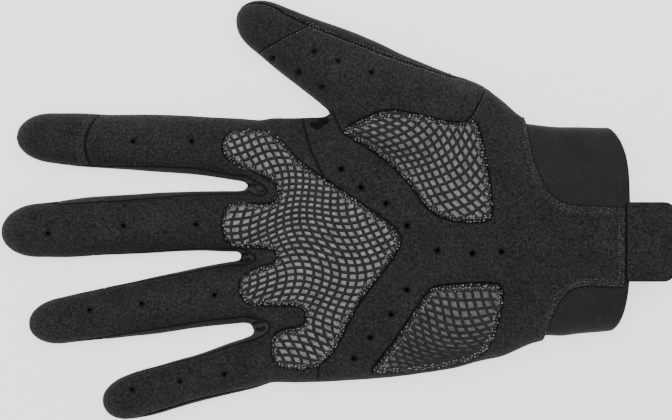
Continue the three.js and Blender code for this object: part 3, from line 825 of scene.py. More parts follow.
@dataclass
class Skin:
    """A triangle mesh with values at its vertices."""

    points: Array
    faces: Array
    marks: Marks

    @property
    def edges(self) -> Array:
        """The faces' edges, each in the direction that its face goes round."""
        return np.vstack([self.faces[:, [k, (k + 1) % 3]] for k in range(3)])

    def keep(self, value: Array) -> "Skin":
        """The part of the skin where a value is positive, cut through the faces that it crosses.

        Args:
            value: one number for each vertex.

        Returns:
            A new skin.
        """
        inside = value > 0
        count = inside[self.faces].sum(axis=1)
        whole = self.faces[count == 3]
        one = self._turned(self.faces[count == 1], inside, True)
        two = self._turned(self.faces[count == 2], inside, False)
        edges = np.vstack([one[:, [0, 1]], one[:, [0, 2]], two[:, [1, 0]], two[:, [2, 0]]])
        ordered = np.sort(edges, axis=1)
        unique, back = np.unique(ordered, axis=0, return_inverse=True)
        back = back.ravel() + len(self.points)
        near, far = value[unique[:, 0]], value[unique[:, 1]]
        share = np.clip(near / (near - far), SLIVER, 1 - SLIVER)
        first, second = len(one), len(two)
        at = np.split(back, [first, 2 * first, 2 * first + second])
        cut = np.vstack([
            whole,
            np.column_stack([one[:, 0], at[0], at[1]]),
            np.column_stack([two[:, 1], two[:, 2], at[3]]),
            np.column_stack([two[:, 1], at[3], at[2]]),
        ])
        return self._with(unique, share, cut)

    def refined(self, near: Array, longest: float) -> "Skin":
        """The skin with its long edges split.

        Args:
            near: for each vertex, whether edges there may be split.
            longest: the length past which an edge is split, in millimetres.

        Returns:
            A new skin.
        """
        ordered = np.sort(self.edges, axis=1)
        unique, back = np.unique(ordered, axis=0, return_inverse=True)
        back = back.ravel()
        length = np.linalg.norm(self.points[unique[:, 0]] - self.points[unique[:, 1]], axis=1)
        split = (near[unique[:, 0]] & near[unique[:, 1]]) & (length > longest)
        place = np.where(split, np.cumsum(split) - 1 + len(self.points), -1)
        mids = place[back].reshape(3, -1).T
        faces, count = self.faces, (mids >= 0).sum(axis=1)
        made = [faces[count == 0]]
        full, m = faces[count == 3], mids[count == 3]
        made += [
            np.column_stack([full[:, 0], m[:, 0], m[:, 2]]),
            np.column_stack([full[:, 1], m[:, 1], m[:, 0]]),
            np.column_stack([full[:, 2], m[:, 2], m[:, 1]]),
            m,
        ]
        for k in range(3):
            pick = (count == 1) & (mids[:, k] >= 0)
            f, mid = np.roll(faces[pick], -k, axis=1), mids[pick, k]
            made += [
                np.column_stack([f[:, 0], mid, f[:, 2]]),
                np.column_stack([mid, f[:, 1], f[:, 2]]),
            ]
            pick = (count == 2) & (mids[:, k] < 0)
            f, m = np.roll(faces[pick], -k, axis=1), np.roll(mids[pick], -k, axis=1)
            made += [
                np.column_stack([f[:, 0], f[:, 1], m[:, 1]]),
                np.column_stack([f[:, 0], m[:, 1], m[:, 2]]),
                np.column_stack([m[:, 1], f[:, 2], m[:, 2]]),
            ]
        return self._with(unique[split], np.full(int(split.sum()), 0.5), np.vstack(made))

    def _turned(self, faces: Array, inside: Array, odd: bool) -> Array:
        """Faces turned so that the one vertex whose side is odd comes first."""
        first = np.argmax(inside[faces] == odd, axis=1)
        return np.take_along_axis(faces, (first[:, None] + np.arange(3)) % 3, axis=1)

    def _with(self, edges: Array, share: Array, faces: Array) -> "Skin":
        """The skin with new vertices and faces, without unused vertices.

        Args:
            edges: the pairs of vertices that get a new one between them.
            share: how far along each pair it lies.
            faces: the new faces.

        Returns:
            A new skin.
        """
        a, b = edges[:, 0], edges[:, 1]

        def extend(values: Array) -> Array:
            """Values at the old and the new vertices."""
            w = share.reshape(-1, *[1] * (values.ndim - 1))
            return np.concatenate([values, values[a] * (1 - w) + values[b] * w])

        used, faces = np.unique(faces, return_inverse=True)
        faces = faces.reshape(-1, 3)
        marks = {name: extend(values)[used] for name, values in self.marks.items()}
        return Skin(extend(self.points)[used], faces, marks)

    def softened(self, values: Array, rounds: int) -> Array:
        """Values at the vertices, averaged with their neighbours'.

        Args:
            values: one number for each vertex.
            rounds: how many times they are averaged.

        Returns:
            The softer values.
        """
        edges = self.edges
        count = np.bincount(edges[:, 0], minlength=len(self.points))
        for _ in range(rounds):
            around = np.bincount(edges[:, 0], values[edges[:, 1]], len(self.points)) / count
            values = (1 - NEIGHBOUR_SHARE) * values + NEIGHBOUR_SHARE * around
        return values

    def normals(self) -> Array:
        """The skin's normals at its vertices.

        Returns:
            One unit vector for each vertex.
        """
        a, b, c = (self.points[self.faces[:, k]] for k in range(3))
        flat = np.cross(b - a, c - a)
        out = np.zeros_like(self.points)
        for k in range(3):
            for axis in range(3):
                out[:, axis] += np.bincount(self.faces[:, k], flat[:, axis], len(out))
        return out / np.maximum(np.linalg.norm(out, axis=1, keepdims=True), 1e-9)


@dataclass
class HandForm:
    """The glove's form: its fingers and its body, joined with soft creases."""

    body: Body = Body()
    crease: float = 2.2
    table_edge: float = 1.8
    smoothing: int = 6
    smoothing_pulls: tuple[float, float] = (0.5, -0.52)
    outside: float = 50.0
    slope_limits: tuple[float, float] = (0.25, 4.0)

    def parts(self) -> list[Finger | Body]:
        """The body and the fingers."""
        return [self.body, *FINGERS.values()]

    def distance(self, x: Array, y: Array, z: Array) -> Array:
        """Distance outside the glove's surface on a grid.

        Args:
            x: the grid's X.
            y: the grid's Y.
            z: the grid's heights.

        Returns:
            The distances, negative inside.
        """
        shape = np.broadcast_shapes(x.shape, y.shape, z.shape)
        total = np.full(shape, self.outside, np.float32)
        for part in self.parts():
            level = part.slice_at(x, y).level(z).astype(np.float32)
            slopes = np.gradient(level, VOXEL)
            steep = np.sqrt(sum(slope**2 for slope in slopes))
            total = blend_least(total, level / np.clip(steep, *self.slope_limits), self.crease)
        return -blend_least(-total, np.broadcast_to(z, shape), self.table_edge)

    def skin(self) -> Skin:
        """The glove's outer surface.

        Returns:
            A smooth triangle mesh.
        """
        axes = [
            np.arange(PLAN_LOW[0], PLAN_HIGH[0], VOXEL),
            np.arange(PLAN_LOW[1], PLAN_HIGH[1], VOXEL),
            np.arange(HEIGHT_LOW, HEIGHT_HIGH, VOXEL),
        ]
        x, y, z = np.meshgrid(*axes, indexing="ij", sparse=True)
        field_values = np.clip(self.distance(x, y, z), -FIELD_BAND, FIELD_BAND)
        grid = openvdb.FloatGrid(FIELD_BAND)
        grid.copyFromArray(np.ascontiguousarray(field_values, dtype=np.float32))
        points, quads = grid.convertToQuads(0.0)
        points = points.astype(float) * VOXEL + [axis[0] for axis in axes]
        faces = np.vstack([quads[:, [0, 1, 2]], quads[:, [0, 2, 3]]]).astype(np.int64)
        skin = Skin(points, faces, {})
        a, b, c = (points[faces[:, k]] for k in range(3))
        if np.einsum("ij,ij->", a, np.cross(b, c)) < 0:
            skin.faces = faces[:, ::-1].copy()
        self._smooth(skin)
        return skin

    def _smooth(self, skin: Skin) -> None:
        """Evens out the meshing's steps without shrinking the form.

        Args:
            skin: the skin, whose points are moved.
        """
        edges = skin.edges
        count = np.bincount(edges[:, 0], minlength=len(skin.points))[:, None]
        for _ in range(self.smoothing):
            for strength in self.smoothing_pulls:
                mean = np.column_stack([
                    np.bincount(edges[:, 0], skin.points[edges[:, 1], axis], len(skin.points))
                    for axis in range(3)
                ]) / count
                skin.points = skin.points + strength * (mean - skin.points)

    def seam(self, points: Array, up: float) -> Array:
        """How far points lie past the seams, on the palm side (up is 1) or back side (-1)."""
        x, y, z = points.T
        return np.max([part.slice_at(x, y).seam(z, up) for part in self.parts()], axis=0)


def smooth_noise(points: Array, wavelength: float, seed: int) -> Array:
    """A smooth random field from -1 to 1 that repeats about every wavelength.

    Args:
        points: where it is read, one row each.
        wavelength: its scale, in millimetres.
        seed: which field.

    Returns:
        One number for each point.
    """
    random = np.random.default_rng(seed)
    total = np.zeros(len(points))
    for _ in range(10):
        direction = random.normal(size=3)
        length = wavelength * random.uniform(0.7, 1.4) * np.linalg.norm(direction)
        direction *= 2 * math.pi / length
        total += np.sin(points @ direction + random.uniform(0, 2 * math.pi))
    return np.clip(total / 4, -1, 1)


class Crease(NamedTuple):
    """A fold in the palm side: its path in shares of the palm, its depth and its half width."""

    path: tuple[tuple[float, float], ...]
    depth: float
    half_width: float

    def away(self, x: Array, y: Array) -> Array:
        """How far plan points lie from the fold's path."""
        return path_distance(x, y, palm_points(self.path))

    def press(self, x: Array, y: Array) -> Array:
        """How deep the fold presses in at plan points."""
        return self.depth * np.exp(-((self.away(x, y) / self.half_width) ** 2))


CREASES = (
    Crease(((0.318, 0.47), (0.345, 0.425), (0.4, 0.37), (0.47, 0.31)), 0.7, 1.6),
    Crease(((0.29, 0.5), (0.305, 0.465), (0.318, 0.44)), 1.0, 1.2),
)
HOLLOWS = (
    Crease(((0.029, 0.248), (0.042, 0.25), (0.059, 0.249)), 1.1, 0.5),
    Crease(((0.065, 0.225), (0.077, 0.222), (0.089, 0.228)), 0.4, 0.3),
    Crease(((0.009, -0.02), (0.019, -0.013), (0.03, -0.012)), 0.9, 0.4),
    Crease(((0.007, -0.034), (0.021, -0.036), (0.037, -0.034)), 1.1, 0.55),
    Crease(((0.054, -0.277), (0.068, -0.272), (0.084, -0.267)), 0.9, 0.45),
    Crease(((0.064, -0.3), (0.079, -0.299), (0.089, -0.292)), 1.1, 0.55),
    Crease(((0.264, 0.484), (0.28, 0.481), (0.305, 0.497)), 1.2, 0.8),
    Crease(((0.268, 0.474), (0.277, 0.47), (0.285, 0.476)), 0.8, 0.5),
)
WEBS = (
    (
        (-0.009, 0.279), (0.018, 0.284), (0.044, 0.27), (0.071, 0.256), (0.093, 0.241),
        (0.101, 0.228), (0.094, 0.214), (0.079, 0.209), (0.062, 0.211), (0.044, 0.221),
        (0.028, 0.233), (0.005, 0.241), (-0.009, 0.258),
    ),
    (
        (-0.03, -0.004), (-0.011, 0.001), (0.01, -0.001), (0.034, -0.005), (0.05, -0.013),
        (0.061, -0.026), (0.057, -0.035), (0.045, -0.044), (0.029, -0.049), (0.005, -0.051),
        (-0.022, -0.052), (-0.03, -0.035),
    ),
    (
        (0.023, -0.261), (0.04, -0.257), (0.072, -0.259), (0.094, -0.263), (0.108, -0.274),
        (0.111, -0.286), (0.105, -0.303), (0.093, -0.316), (0.077, -0.326), (0.059, -0.333),
        (0.037, -0.339), (0.026, -0.309),
    ),
)


UPPER_SEAMS = (
    "palm", "knuckle", "thenar", "heel", "fingers", "thumb", "suede", "tab", "index_tip",
    "thumb_tip", "hem",
)
LOWER_SEAMS = ("palm", "back", "thumb_back", "hem")


@dataclass
class GloveSkin:
    """The hand's skin with every seam marked on it, from which all the panels are cut.

    Each wave of slack is its wavelength in millimetres, its seed and its share of the softness.
    """

    form: HandForm = field(default_factory=HandForm)
    cut: Cut = Cut()
    seam_zone: float = 1.3
    seam_edge: float = 0.5
    seam_overlap: float = 1.0
    hem_overlap: float = 4.0
    hole_edges: tuple[float, float] = (0.3, 0.2)
    hole_reach: float = 0.7
    softness: float = 0.16
    slack: tuple[tuple[float, int, float], ...] = ((26.0, 3, 1.0), (11.0, 8, 0.5))
    slack_height: float = 3.0
    tip_reach: float = 0.75
    seam_softening: int = 7
    fold_edges: tuple[float, float] = (0.4, 0.25)
    fold_reach: float = 1.2
    web_blend: float = 1.0
    upward: float = 0.1
    skin: Skin = field(init=False)

    def __post_init__(self) -> None:
        """Meshes the form, marks its seams and refines the mesh beside them."""
        skin = self.form.skin()
        log.info("hand skin: %d faces", len(skin.faces))
        self._relieve(skin)
        self._mark(skin)
        beside = self._beside(skin, UPPER_SEAMS, 1) | self._beside(skin, LOWER_SEAMS, -1)
        skin = skin.refined(beside, self.seam_edge)
        for longest in self.hole_edges:
            near = (np.abs(skin.marks["holes"]) < self.hole_reach) & (skin.marks["palm"] > 0)
            skin = skin.refined(near, longest)
        for longest in self.fold_edges:
            near = (skin.marks["folds"] < self.fold_reach) & (skin.normals()[:, 2] > self.upward)
            skin = skin.refined(near, longest)
        self._fold(skin)
        skin.marks["normal"] = skin.normals()
        self.skin = skin
        log.info("hand skin beside its seams: %d faces", len(skin.faces))

    def _fold(self, skin: Skin) -> None:
        """Presses the small hollows into the cloth at the crotches.

        Args:
            skin: the skin, whose points are moved.
        """
        x, y, _ = skin.points.T
        normals = skin.normals()
        for hollow in HOLLOWS:
            depth = hollow.press(x, y) * (normals[:, 2] > self.upward)
            skin.points = skin.points - normals * depth[:, None]
        skin.points[:, 2] = np.maximum(skin.points[:, 2], 0)

    def _beside(self, skin: Skin, seams: tuple[str, ...], up: float) -> Array:
        """Which vertices lie beside seams.

        Args:
            skin: the skin.
            seams: the names of the seams' marks.
            up: 1 for the palm side or -1 for the back side.

        Returns:
            True or false for each vertex.
        """
        marks = skin.marks
        near = np.min([np.abs(marks[name]) for name in seams], axis=0) < self.seam_zone
        this_side = up * marks["palm"] > -self.seam_overlap
        return near & this_side & (marks["hem"] > -self.hem_overlap)

    def _relieve(self, skin: Skin) -> None:
        """Moves the skin a little in and out where the cloth is slack or folded.

        Args:
            skin: the skin, whose points are moved.
        """
        normals = skin.normals()
        x, y, z = skin.points.T
        relief = np.zeros(len(skin.points))
        for wavelength, seed, share in self.slack:
            relief += share * self.softness * smooth_noise(skin.points, wavelength, seed)
        relief *= np.clip(z / self.slack_height, 0, 1)
        for crease in CREASES:
            relief -= crease.press(x, y) * (normals[:, 2] > 0)
        skin.points = skin.points + normals * relief[:, None]
        skin.points[:, 2] = np.maximum(skin.points[:, 2], 0)

    def _mark(self, skin: Skin) -> None:
        """Writes each seam's signed distance at the skin's vertices.

        Args:
            skin: the skin, which gets the marks.
        """
        x, y, z = skin.points.T
        marks, cut = skin.marks, self.cut
        marks["palm"] = skin.softened(self.form.seam(skin.points, 1), self.seam_softening)
        marks["back"] = skin.softened(self.form.seam(skin.points, -1), self.seam_softening)
        loops = {
            "knuckle": cut.knuckle_pad(), "thenar": cut.thenar_pad(), "heel": cut.hypothenar_pad(),
            "fingers": cut.fingers(), "thumb": cut.thumb(), "thumb_back": cut.thumb_back(),
            "suede": cut.suede(), "tab": cut.tab(),
            **{fork.mark: cut.fourchette(fork) for fork in FORKS},
        }
        for name, loop in loops.items():
            marks[name] = loop_distance(x, y, loop)
        for web in WEBS:
            inside = loop_distance(x, y, rounded(palm_points(web), CORNER_CUTS))
            marks["palm"] = blend_least(marks["palm"], -inside, self.web_blend)
        folds = [hollow.away(x, y) - hollow.half_width for hollow in HOLLOWS]
        marks["folds"] = np.min(folds, axis=0)
        for name, seam in (("index", INDEX_TIP_SEAM), ("thumb", THUMB_TIP_SEAM)):
            along, across = FINGERS[name].shares(x, y)
            line = np.array(sorted(seam, key=lambda p: p[1]))
            edge = np.interp(across, line[:, 1], line[:, 0])
            beside = (self.tip_reach - np.abs(across)) * FINGERS[name].width
            marks[name + "_tip"] = np.minimum((along - edge) * FINGERS[name].length, beside)
        wrist = (y - WRIST_MID * PALM_WIDTH) / (WRIST_WIDTH / 2)
        thumb_bow = (np.abs(wrist) / HEM_THUMB_END) ** HEM_BEND
        little_bow = HEM_LITTLE_SHARE * (np.abs(wrist) / HEM_LITTLE_END) ** HEM_BEND
        bow = HEM_BOW * np.where(wrist > 0, thumb_bow, little_bow)
        marks["hem"] = PALM_LENGTH + CUFF_LENGTH - bow - x
        holes = [np.hypot(x - hole[0], y - hole[1]) - hole[2] / 2 for hole in self.holes()]
        marks["holes"] = np.min(holes, axis=0)

    def holes(self) -> list[tuple[float, float, float]]:
        """The air holes.

        Returns:
            X, Y and diameter of each.
        """
        palm = [(*point, PALM_HOLE) for point in palm_points(PALM_HOLES)]
        fingers = [
            (*FINGERS[name].point(*share), FINGER_HOLE)
            for name, shares in FINGER_HOLES.items()
            for share in shares
        ]
        return palm + fingers

    def panel(self, *values: Array) -> Skin:
        """Cuts a panel from the skin.

        Args:
            values: the signed distances from the seams that bound it.

        Returns:
            The skin where all are over half a seam's gap, marked with its distance from the edge.
        """
        edge = np.min(values, axis=0) - SEAM_HALF
        skin = Skin(self.skin.points, self.skin.faces, {**self.skin.marks, "edge": edge})
        return largest_parts(skin.keep(edge))


def largest_parts(skin: Skin, fewest: int = 80) -> Skin:
    """The skin without loose scraps.

    Args:
        skin: the skin.
        fewest: how many faces a part needs to stay.

    Returns:
        A new skin, or the same one where it is empty.
    """
    if len(skin.faces) == 0:
        return skin
    label = np.arange(len(skin.points))
    edges = skin.edges
    while True:
        least = np.minimum(label[edges[:, 0]], label[edges[:, 1]])
        after = label.copy()
        np.minimum.at(after, edges[:, 0], least)
        np.minimum.at(after, edges[:, 1], least)
        after = after[after]
        if np.array_equal(after, label):
            break
        label = after
    owner = label[skin.faces[:, 0]]
    size = np.bincount(owner, minlength=len(skin.points))
    faces = skin.faces[size[owner] >= fewest]
    used, faces = np.unique(faces, return_inverse=True)
    marks = {name: values[used] for name, values in skin.marks.items()}
    return Skin(skin.points[used], faces.reshape(-1, 3), marks)


def levels_on(skin: Skin, value: Array, points: Array) -> tuple[Array, Array]:
    """Lines on a skin along which a value is a whole number.

    Args:
        skin: the skin whose faces are crossed.
        value: one number for each vertex.
        points: where the vertices lie, for the lines' place.

    Returns:
        The lines' points and their edges.
    """
    step = np.floor(value)
    corners = skin.faces
    pairs = np.stack([corners, np.roll(corners, -1, axis=1)], axis=2)
    crossed = step[pairs[..., 0]] != step[pairs[..., 1]]
    usable = crossed.sum(axis=1) == 2
    spread = step[corners].max(axis=1) - step[corners].min(axis=1)
    usable &= spread == 1
    chosen = pairs[usable][crossed[usable]]
    ordered = np.sort(chosen, axis=1)
    unique, back = np.unique(ordered, axis=0, return_inverse=True)
    near, far = value[unique[:, 0]], value[unique[:, 1]]
    level = np.maximum(np.floor(near), np.floor(far))
    share = np.clip((level - near) / (far - near), 0, 1)
    place = points[unique[:, 0]] * (1 - share[:, None]) + points[unique[:, 1]] * share[:, None]
    return place, back.reshape(-1, 2)


FRAME_SHIFT = np.array([
    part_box("pull_tab")[1].x / MM - (PALM_LENGTH + CUFF_LENGTH + TAB_REACH),
    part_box("pull_tab")[1].y / MM
    - (WRIST_MID * PALM_WIDTH + TONGUE_MID * WRIST_WIDTH + TAB_WIDTH / 2),
    0.0,
])


def to_frame(points: Array) -> Array:
    """Points of the palm's frame as metres in the row frame."""
    return (points + FRAME_SHIFT) * MM


def make_mesh(
    name: str, points: Array, faces: Array | None = None, edges: Array | None = None
) -> bpy.types.Mesh:
    """Writes a mesh of triangles, of edges or of points alone.

    Args:
        name: the mesh's name.
        points: its vertices in the palm's frame.
        faces: its triangles, where it has any.
        edges: its edges, where it has no triangles.

    Returns:
        The mesh.
    """
    mesh = bpy.data.meshes.new(name)
    mesh.vertices.add(len(points))
    mesh.vertices.foreach_set("co", to_frame(points).astype(np.float32).ravel())
    if edges is not None:
        mesh.edges.add(len(edges))
        mesh.edges.foreach_set("vertices", edges.astype(np.int32).ravel())
    if faces is not None:
        mesh.loops.add(faces.size)
        mesh.loops.foreach_set("vertex_index", faces.astype(np.int32).ravel())
        mesh.polygons.add(len(faces))
        mesh.polygons.foreach_set("loop_start", np.arange(0, faces.size, 3, dtype=np.int32))
        mesh.polygons.foreach_set("use_smooth", np.ones(len(faces), bool))
    mesh.update(calc_edges=edges is None)
    mesh.validate()
    return mesh


def level_lines(name: str, skin: Skin, values: Sequence[Array], points: Array) -> bpy.types.Mesh:
    """A mesh of the lines on a skin along which any of some values is a whole number.

    Args:
        name: the name of the piece that follows the lines.
        skin: the skin whose faces are crossed.
        values: for each family of lines, one number for each vertex.
        points: where the vertices lie, for the lines' place.

    Returns:
        The mesh, which has edges and no faces.
    """
    places, edges, count = [], [], 0
    for value in values:
        place, pairs = levels_on(skin, value, points)
        places.append(place)
        edges.append(pairs + count)
        count += len(place)
    return make_mesh(f"{name}_lines", np.vstack(places), edges=np.vstack(edges))


def write_mark(mesh: bpy.types.Mesh, name: str, values: Array) -> None:
    """Writes an attribute that a material or a node tree reads.

    Args:
        mesh: the mesh.
        name: the attribute's name.
        values: a number, or a vector's row, for each vertex.
    """
    kind, key = ("FLOAT_VECTOR", "vector") if values.ndim == 2 else ("FLOAT", "value")
    attribute = mesh.attributes.new(name, kind, "POINT")
    attribute.data.foreach_set(key, values.astype(np.float32).ravel())


def make_object(name: str, data: bpy.types.ID) -> bpy.types.Object:
    """Links a mesh, a light or a camera to the scene.

    Args:
        name: the object's name.
        data: what it holds.

    Returns:
        The object, at the origin.
    """
    made = bpy.data.objects.new(name, data)
    bpy.context.scene.collection.objects.link(made)
    return made


@dataclass(frozen=True)
class Wall:
    """How a panel's skin becomes a wall: how far out and in it goes, and how its edge turns in."""

    out: float = 0.0
    thick: float = PANEL_WALL
    roll: float = 0.7
    roll_width: float = 1.1
    crown: float = 0.0
    crown_width: float = 2.6
    crown_bend: float = 2.4

    def outside(self, skin: Skin) -> Array:
        """The wall's outer points.

        Args:
            skin: the panel's skin.

        Returns:
            One point for each of the skin's vertices.
        """
        edge = skin.marks["edge"]
        inward = (1 - np.clip(edge / self.roll_width, 0, 1)) ** 2
        swell = 1 - (1 - np.clip(edge / self.crown_width, 0, 1)) ** self.crown_bend
        lift = self.out - self.roll * inward + self.crown * swell
        return skin.points + skin.marks["normal"] * lift[:, None]

    def solid(self, name: str, skin: Skin) -> bpy.types.Mesh:
        """The closed wall over a skin.

        Args:
            name: the mesh's name.
            skin: the panel's skin.

        Returns:
            The mesh, which holds the distance from the panel's edge.
        """
        outer = self.outside(skin)
        inner = skin.points + skin.marks["normal"] * (self.out - self.thick)
        count = len(outer)
        edges = skin.edges
        forward = edges[:, 0] * count + edges[:, 1]
        backward = edges[:, 1] * count + edges[:, 0]
        rim = edges[~np.isin(forward, backward)]
        i, j = rim.T
        faces = np.vstack([
            skin.faces,
            skin.faces[:, ::-1] + count,
            np.column_stack([j, i, i + count]),
            np.column_stack([j, i + count, j + count]),
        ])
        points = np.vstack([outer, inner])
        points[:, 2] = np.maximum(points[:, 2], 0)
        mesh = make_mesh(name, points, faces)
        mesh.set_sharp_from_angle(angle=math.radians(SHARP_ANGLE))
        write_mark(mesh, "edge", np.concatenate([skin.marks["edge"], np.zeros(count)]))
        return mesh


class Tree(Enum):
    """The Geometry Nodes trees that make what repeats or follows a path."""

    STRANDS = "NetStrands"
    STITCHES = "StitchRow"
    RIMS = "HoleRims"


@dataclass
class NodeSheet:
    """Builds one node tree, adding nodes and joining their sockets."""

    tree: bpy.types.NodeTree

    def add(
        self, kind: str, values: dict[str | int, object] | None = None, **settings: object
    ) -> bpy.types.Node:
        """Adds a node.

        Args:
            kind: the node's type.
            values: what its inputs hold, or the sockets that feed them, by name or number.
            settings: its other properties.

        Returns:
            The node.
        """
        node = self.tree.nodes.new(kind)
        for key, value in settings.items():
            setattr(node, key, value)
        for key, value in (values or {}).items():
            self.fill(node.inputs[key], value)
        return node

    def fill(self, socket: bpy.types.NodeSocket, value: object) -> None:
        """Feeds an input.

        Args:
            socket: the input.
            value: what it holds, or the socket that feeds it.
        """
        if isinstance(value, bpy.types.NodeSocket):
            self.tree.links.new(value, socket)
        else:
            socket.default_value = value

    def opening(self, name: str, kind: str, default: object = None) -> None:
        """Adds a named input to the tree.

        Args:
            name: the input's name.
            kind: its socket's type.
            default: what it holds at first, where it needs a value.
        """
        socket = self.tree.interface.new_socket(name, in_out="INPUT", socket_type=kind)
        if default is not None:
            socket.default_value = default

    def result(self, name: str, kind: str) -> None:
        """Adds a named output to the tree."""
        self.tree.interface.new_socket(name, in_out="OUTPUT", socket_type=kind)

    def spaced(self, lines: bpy.types.NodeSocket, step: bpy.types.NodeSocket) -> bpy.types.NodeSocket:
        """Turns a mesh's lines into curves.

        Args:
            lines: the mesh.
            step: how far apart the curves' points are.

        Returns:
            The curves.
        """
        curve = self.add("GeometryNodeMeshToCurve", {"Mesh": lines})
        inputs = {"Curve": curve.outputs[0], "Length": step}
        return self.add("GeometryNodeResampleCurve", inputs, mode="LENGTH").outputs[0]

    def dressed(self, shape: bpy.types.NodeSocket, cloth: bpy.types.NodeSocket) -> bpy.types.NodeTree:
        """Ends the tree with a shape made real and given its material.

        Args:
            shape: the shape.
            cloth: the material.

        Returns:
            The tree.
        """
        whole = self.add("GeometryNodeRealizeInstances", {0: shape})
        inputs = {"Geometry": whole.outputs[0], "Material": cloth}
        dressed = self.add("GeometryNodeSetMaterial", inputs)
        self.add("NodeGroupOutput", {0: dressed.outputs[0]})
        return self.tree


def geometry_sheet(
    tree: Tree, sizes: dict[str, float | int]
) -> tuple[NodeSheet, bpy.types.bpy_prop_collection]:
    """Starts a Geometry Nodes tree.

    Args:
        tree: which tree.
        sizes: its named sizes and what they hold at first.

    Returns:
        The sheet to draw on, and the sockets of the tree's inputs.
    """
    sheet = NodeSheet(bpy.data.node_groups.new(tree.value, "GeometryNodeTree"))
    sheet.opening("Geometry", "NodeSocketGeometry")
    for name, size in sizes.items():
        sheet.opening(name, "NodeSocketInt" if isinstance(size, int) else "NodeSocketFloat", size)
    sheet.opening("Material", "NodeSocketMaterial")
    sheet.result("Geometry", "NodeSocketGeometry")
    return sheet, sheet.add("NodeGroupInput").outputs


def strand_tree() -> bpy.types.NodeTree:
    """A tree that lays a round strand along every line of its mesh.

    Returns:
        The tree.
    """
    sheet, given = geometry_sheet(Tree.STRANDS, {"Radius": 0.0003, "Step": 0.0008, "Sides": 6})
    even = sheet.spaced(given["Geometry"], given["Step"])
    ring = sheet.add(
        "GeometryNodeCurvePrimitiveCircle",
        {"Resolution": given["Sides"], "Radius": given["Radius"]},
    )
    tube = sheet.add(
        "GeometryNodeCurveToMesh",
        {"Curve": even, "Profile Curve": ring.outputs[0], "Fill Caps": True},
    )
    return sheet.dressed(tube.outputs[0], given["Material"])


def stitch_tree() -> bpy.types.NodeTree:
    """A tree that sews a row of stitches along every line of its mesh.

    Returns:
        The tree.
    """
    sheet, given = geometry_sheet(
        Tree.STITCHES,
        {"Pitch": 0.0022, "Length": 0.0016, "Thread": 0.0004, "Scatter": 0.0, "Uneven": 0.0},
    )
    even = sheet.spaced(given["Geometry"], given["Pitch"])
    bead = sheet.add("GeometryNodeMeshUVSphere", {"Segments": 8, "Rings": 5, "Radius": 0.5})
    thread = given["Thread"]
    size = sheet.add("ShaderNodeCombineXYZ", {0: given["Length"], 1: thread, 2: thread})
    stitch = sheet.add(
        "GeometryNodeTransform", {"Geometry": bead.outputs[0], "Scale": size.outputs[0]}
    )
    along = sheet.add("GeometryNodeInputTangent")
    turn = sheet.add("FunctionNodeAlignRotationToVector", {"Vector": along.outputs[0]}, axis="X")
    away = sheet.add(
        "FunctionNodeRandomValue",
        {0: (-1.0, -1.0, 0.0), 1: (1.0, 1.0, 0.0), "Seed": 4},
        data_type="FLOAT_VECTOR",
    )
    shift = sheet.add(
        "ShaderNodeVectorMath", {0: away.outputs[0], "Scale": given["Scatter"]}, operation="SCALE"
    )
    loose = sheet.add("GeometryNodeSetPosition", {"Geometry": even, "Offset": shift.outputs[0]})
    least, most = [
        sheet.add("ShaderNodeMath", {0: 1.0, 1: given["Uneven"]}, operation=operation).outputs[0]
        for operation in ("SUBTRACT", "ADD")
    ]
    scale = sheet.add("FunctionNodeRandomValue", {2: least, 3: most, "Seed": 9})
    row = sheet.add(
        "GeometryNodeInstanceOnPoints",
        {
            "Points": loose.outputs[0], "Instance": stitch.outputs[0],
            "Rotation": turn.outputs[0], "Scale": scale.outputs[1],
        },
    )
    return sheet.dressed(row.outputs[0], given["Material"])


def rim_tree() -> bpy.types.NodeTree:
    """A tree that sets a pressed rim round every air hole, square to the surface.

    Returns:
        The tree.
    """
    sheet, given = geometry_sheet(Tree.RIMS, {"Rim": 0.00012})
    normal, width = [
        sheet.add("GeometryNodeInputNamedAttribute", {"Name": name}, data_type=kind).outputs[0]
        for name, kind in (("out", "FLOAT_VECTOR"), ("radius", "FLOAT"))
    ]
    circle = sheet.add("GeometryNodeCurvePrimitiveCircle", {"Resolution": 20, "Radius": 1.0})
    turn = sheet.add("FunctionNodeAlignRotationToVector", {"Vector": normal}, axis="Z")
    rings = sheet.add(
        "GeometryNodeInstanceOnPoints",
        {
            "Points": given["Geometry"], "Instance": circle.outputs[0],
            "Rotation": turn.outputs[0], "Scale": width,
        },
    )
    loops = sheet.add("GeometryNodeRealizeInstances", {0: rings.outputs[0]})
    profile = sheet.add(
        "GeometryNodeCurvePrimitiveCircle", {"Resolution": 6, "Radius": given["Rim"]}
    )
    tube = sheet.add(
        "GeometryNodeCurveToMesh",
        {"Curve": loops.outputs[0], "Profile Curve": profile.outputs[0]},
    )
    return sheet.dressed(tube.outputs[0], given["Material"])


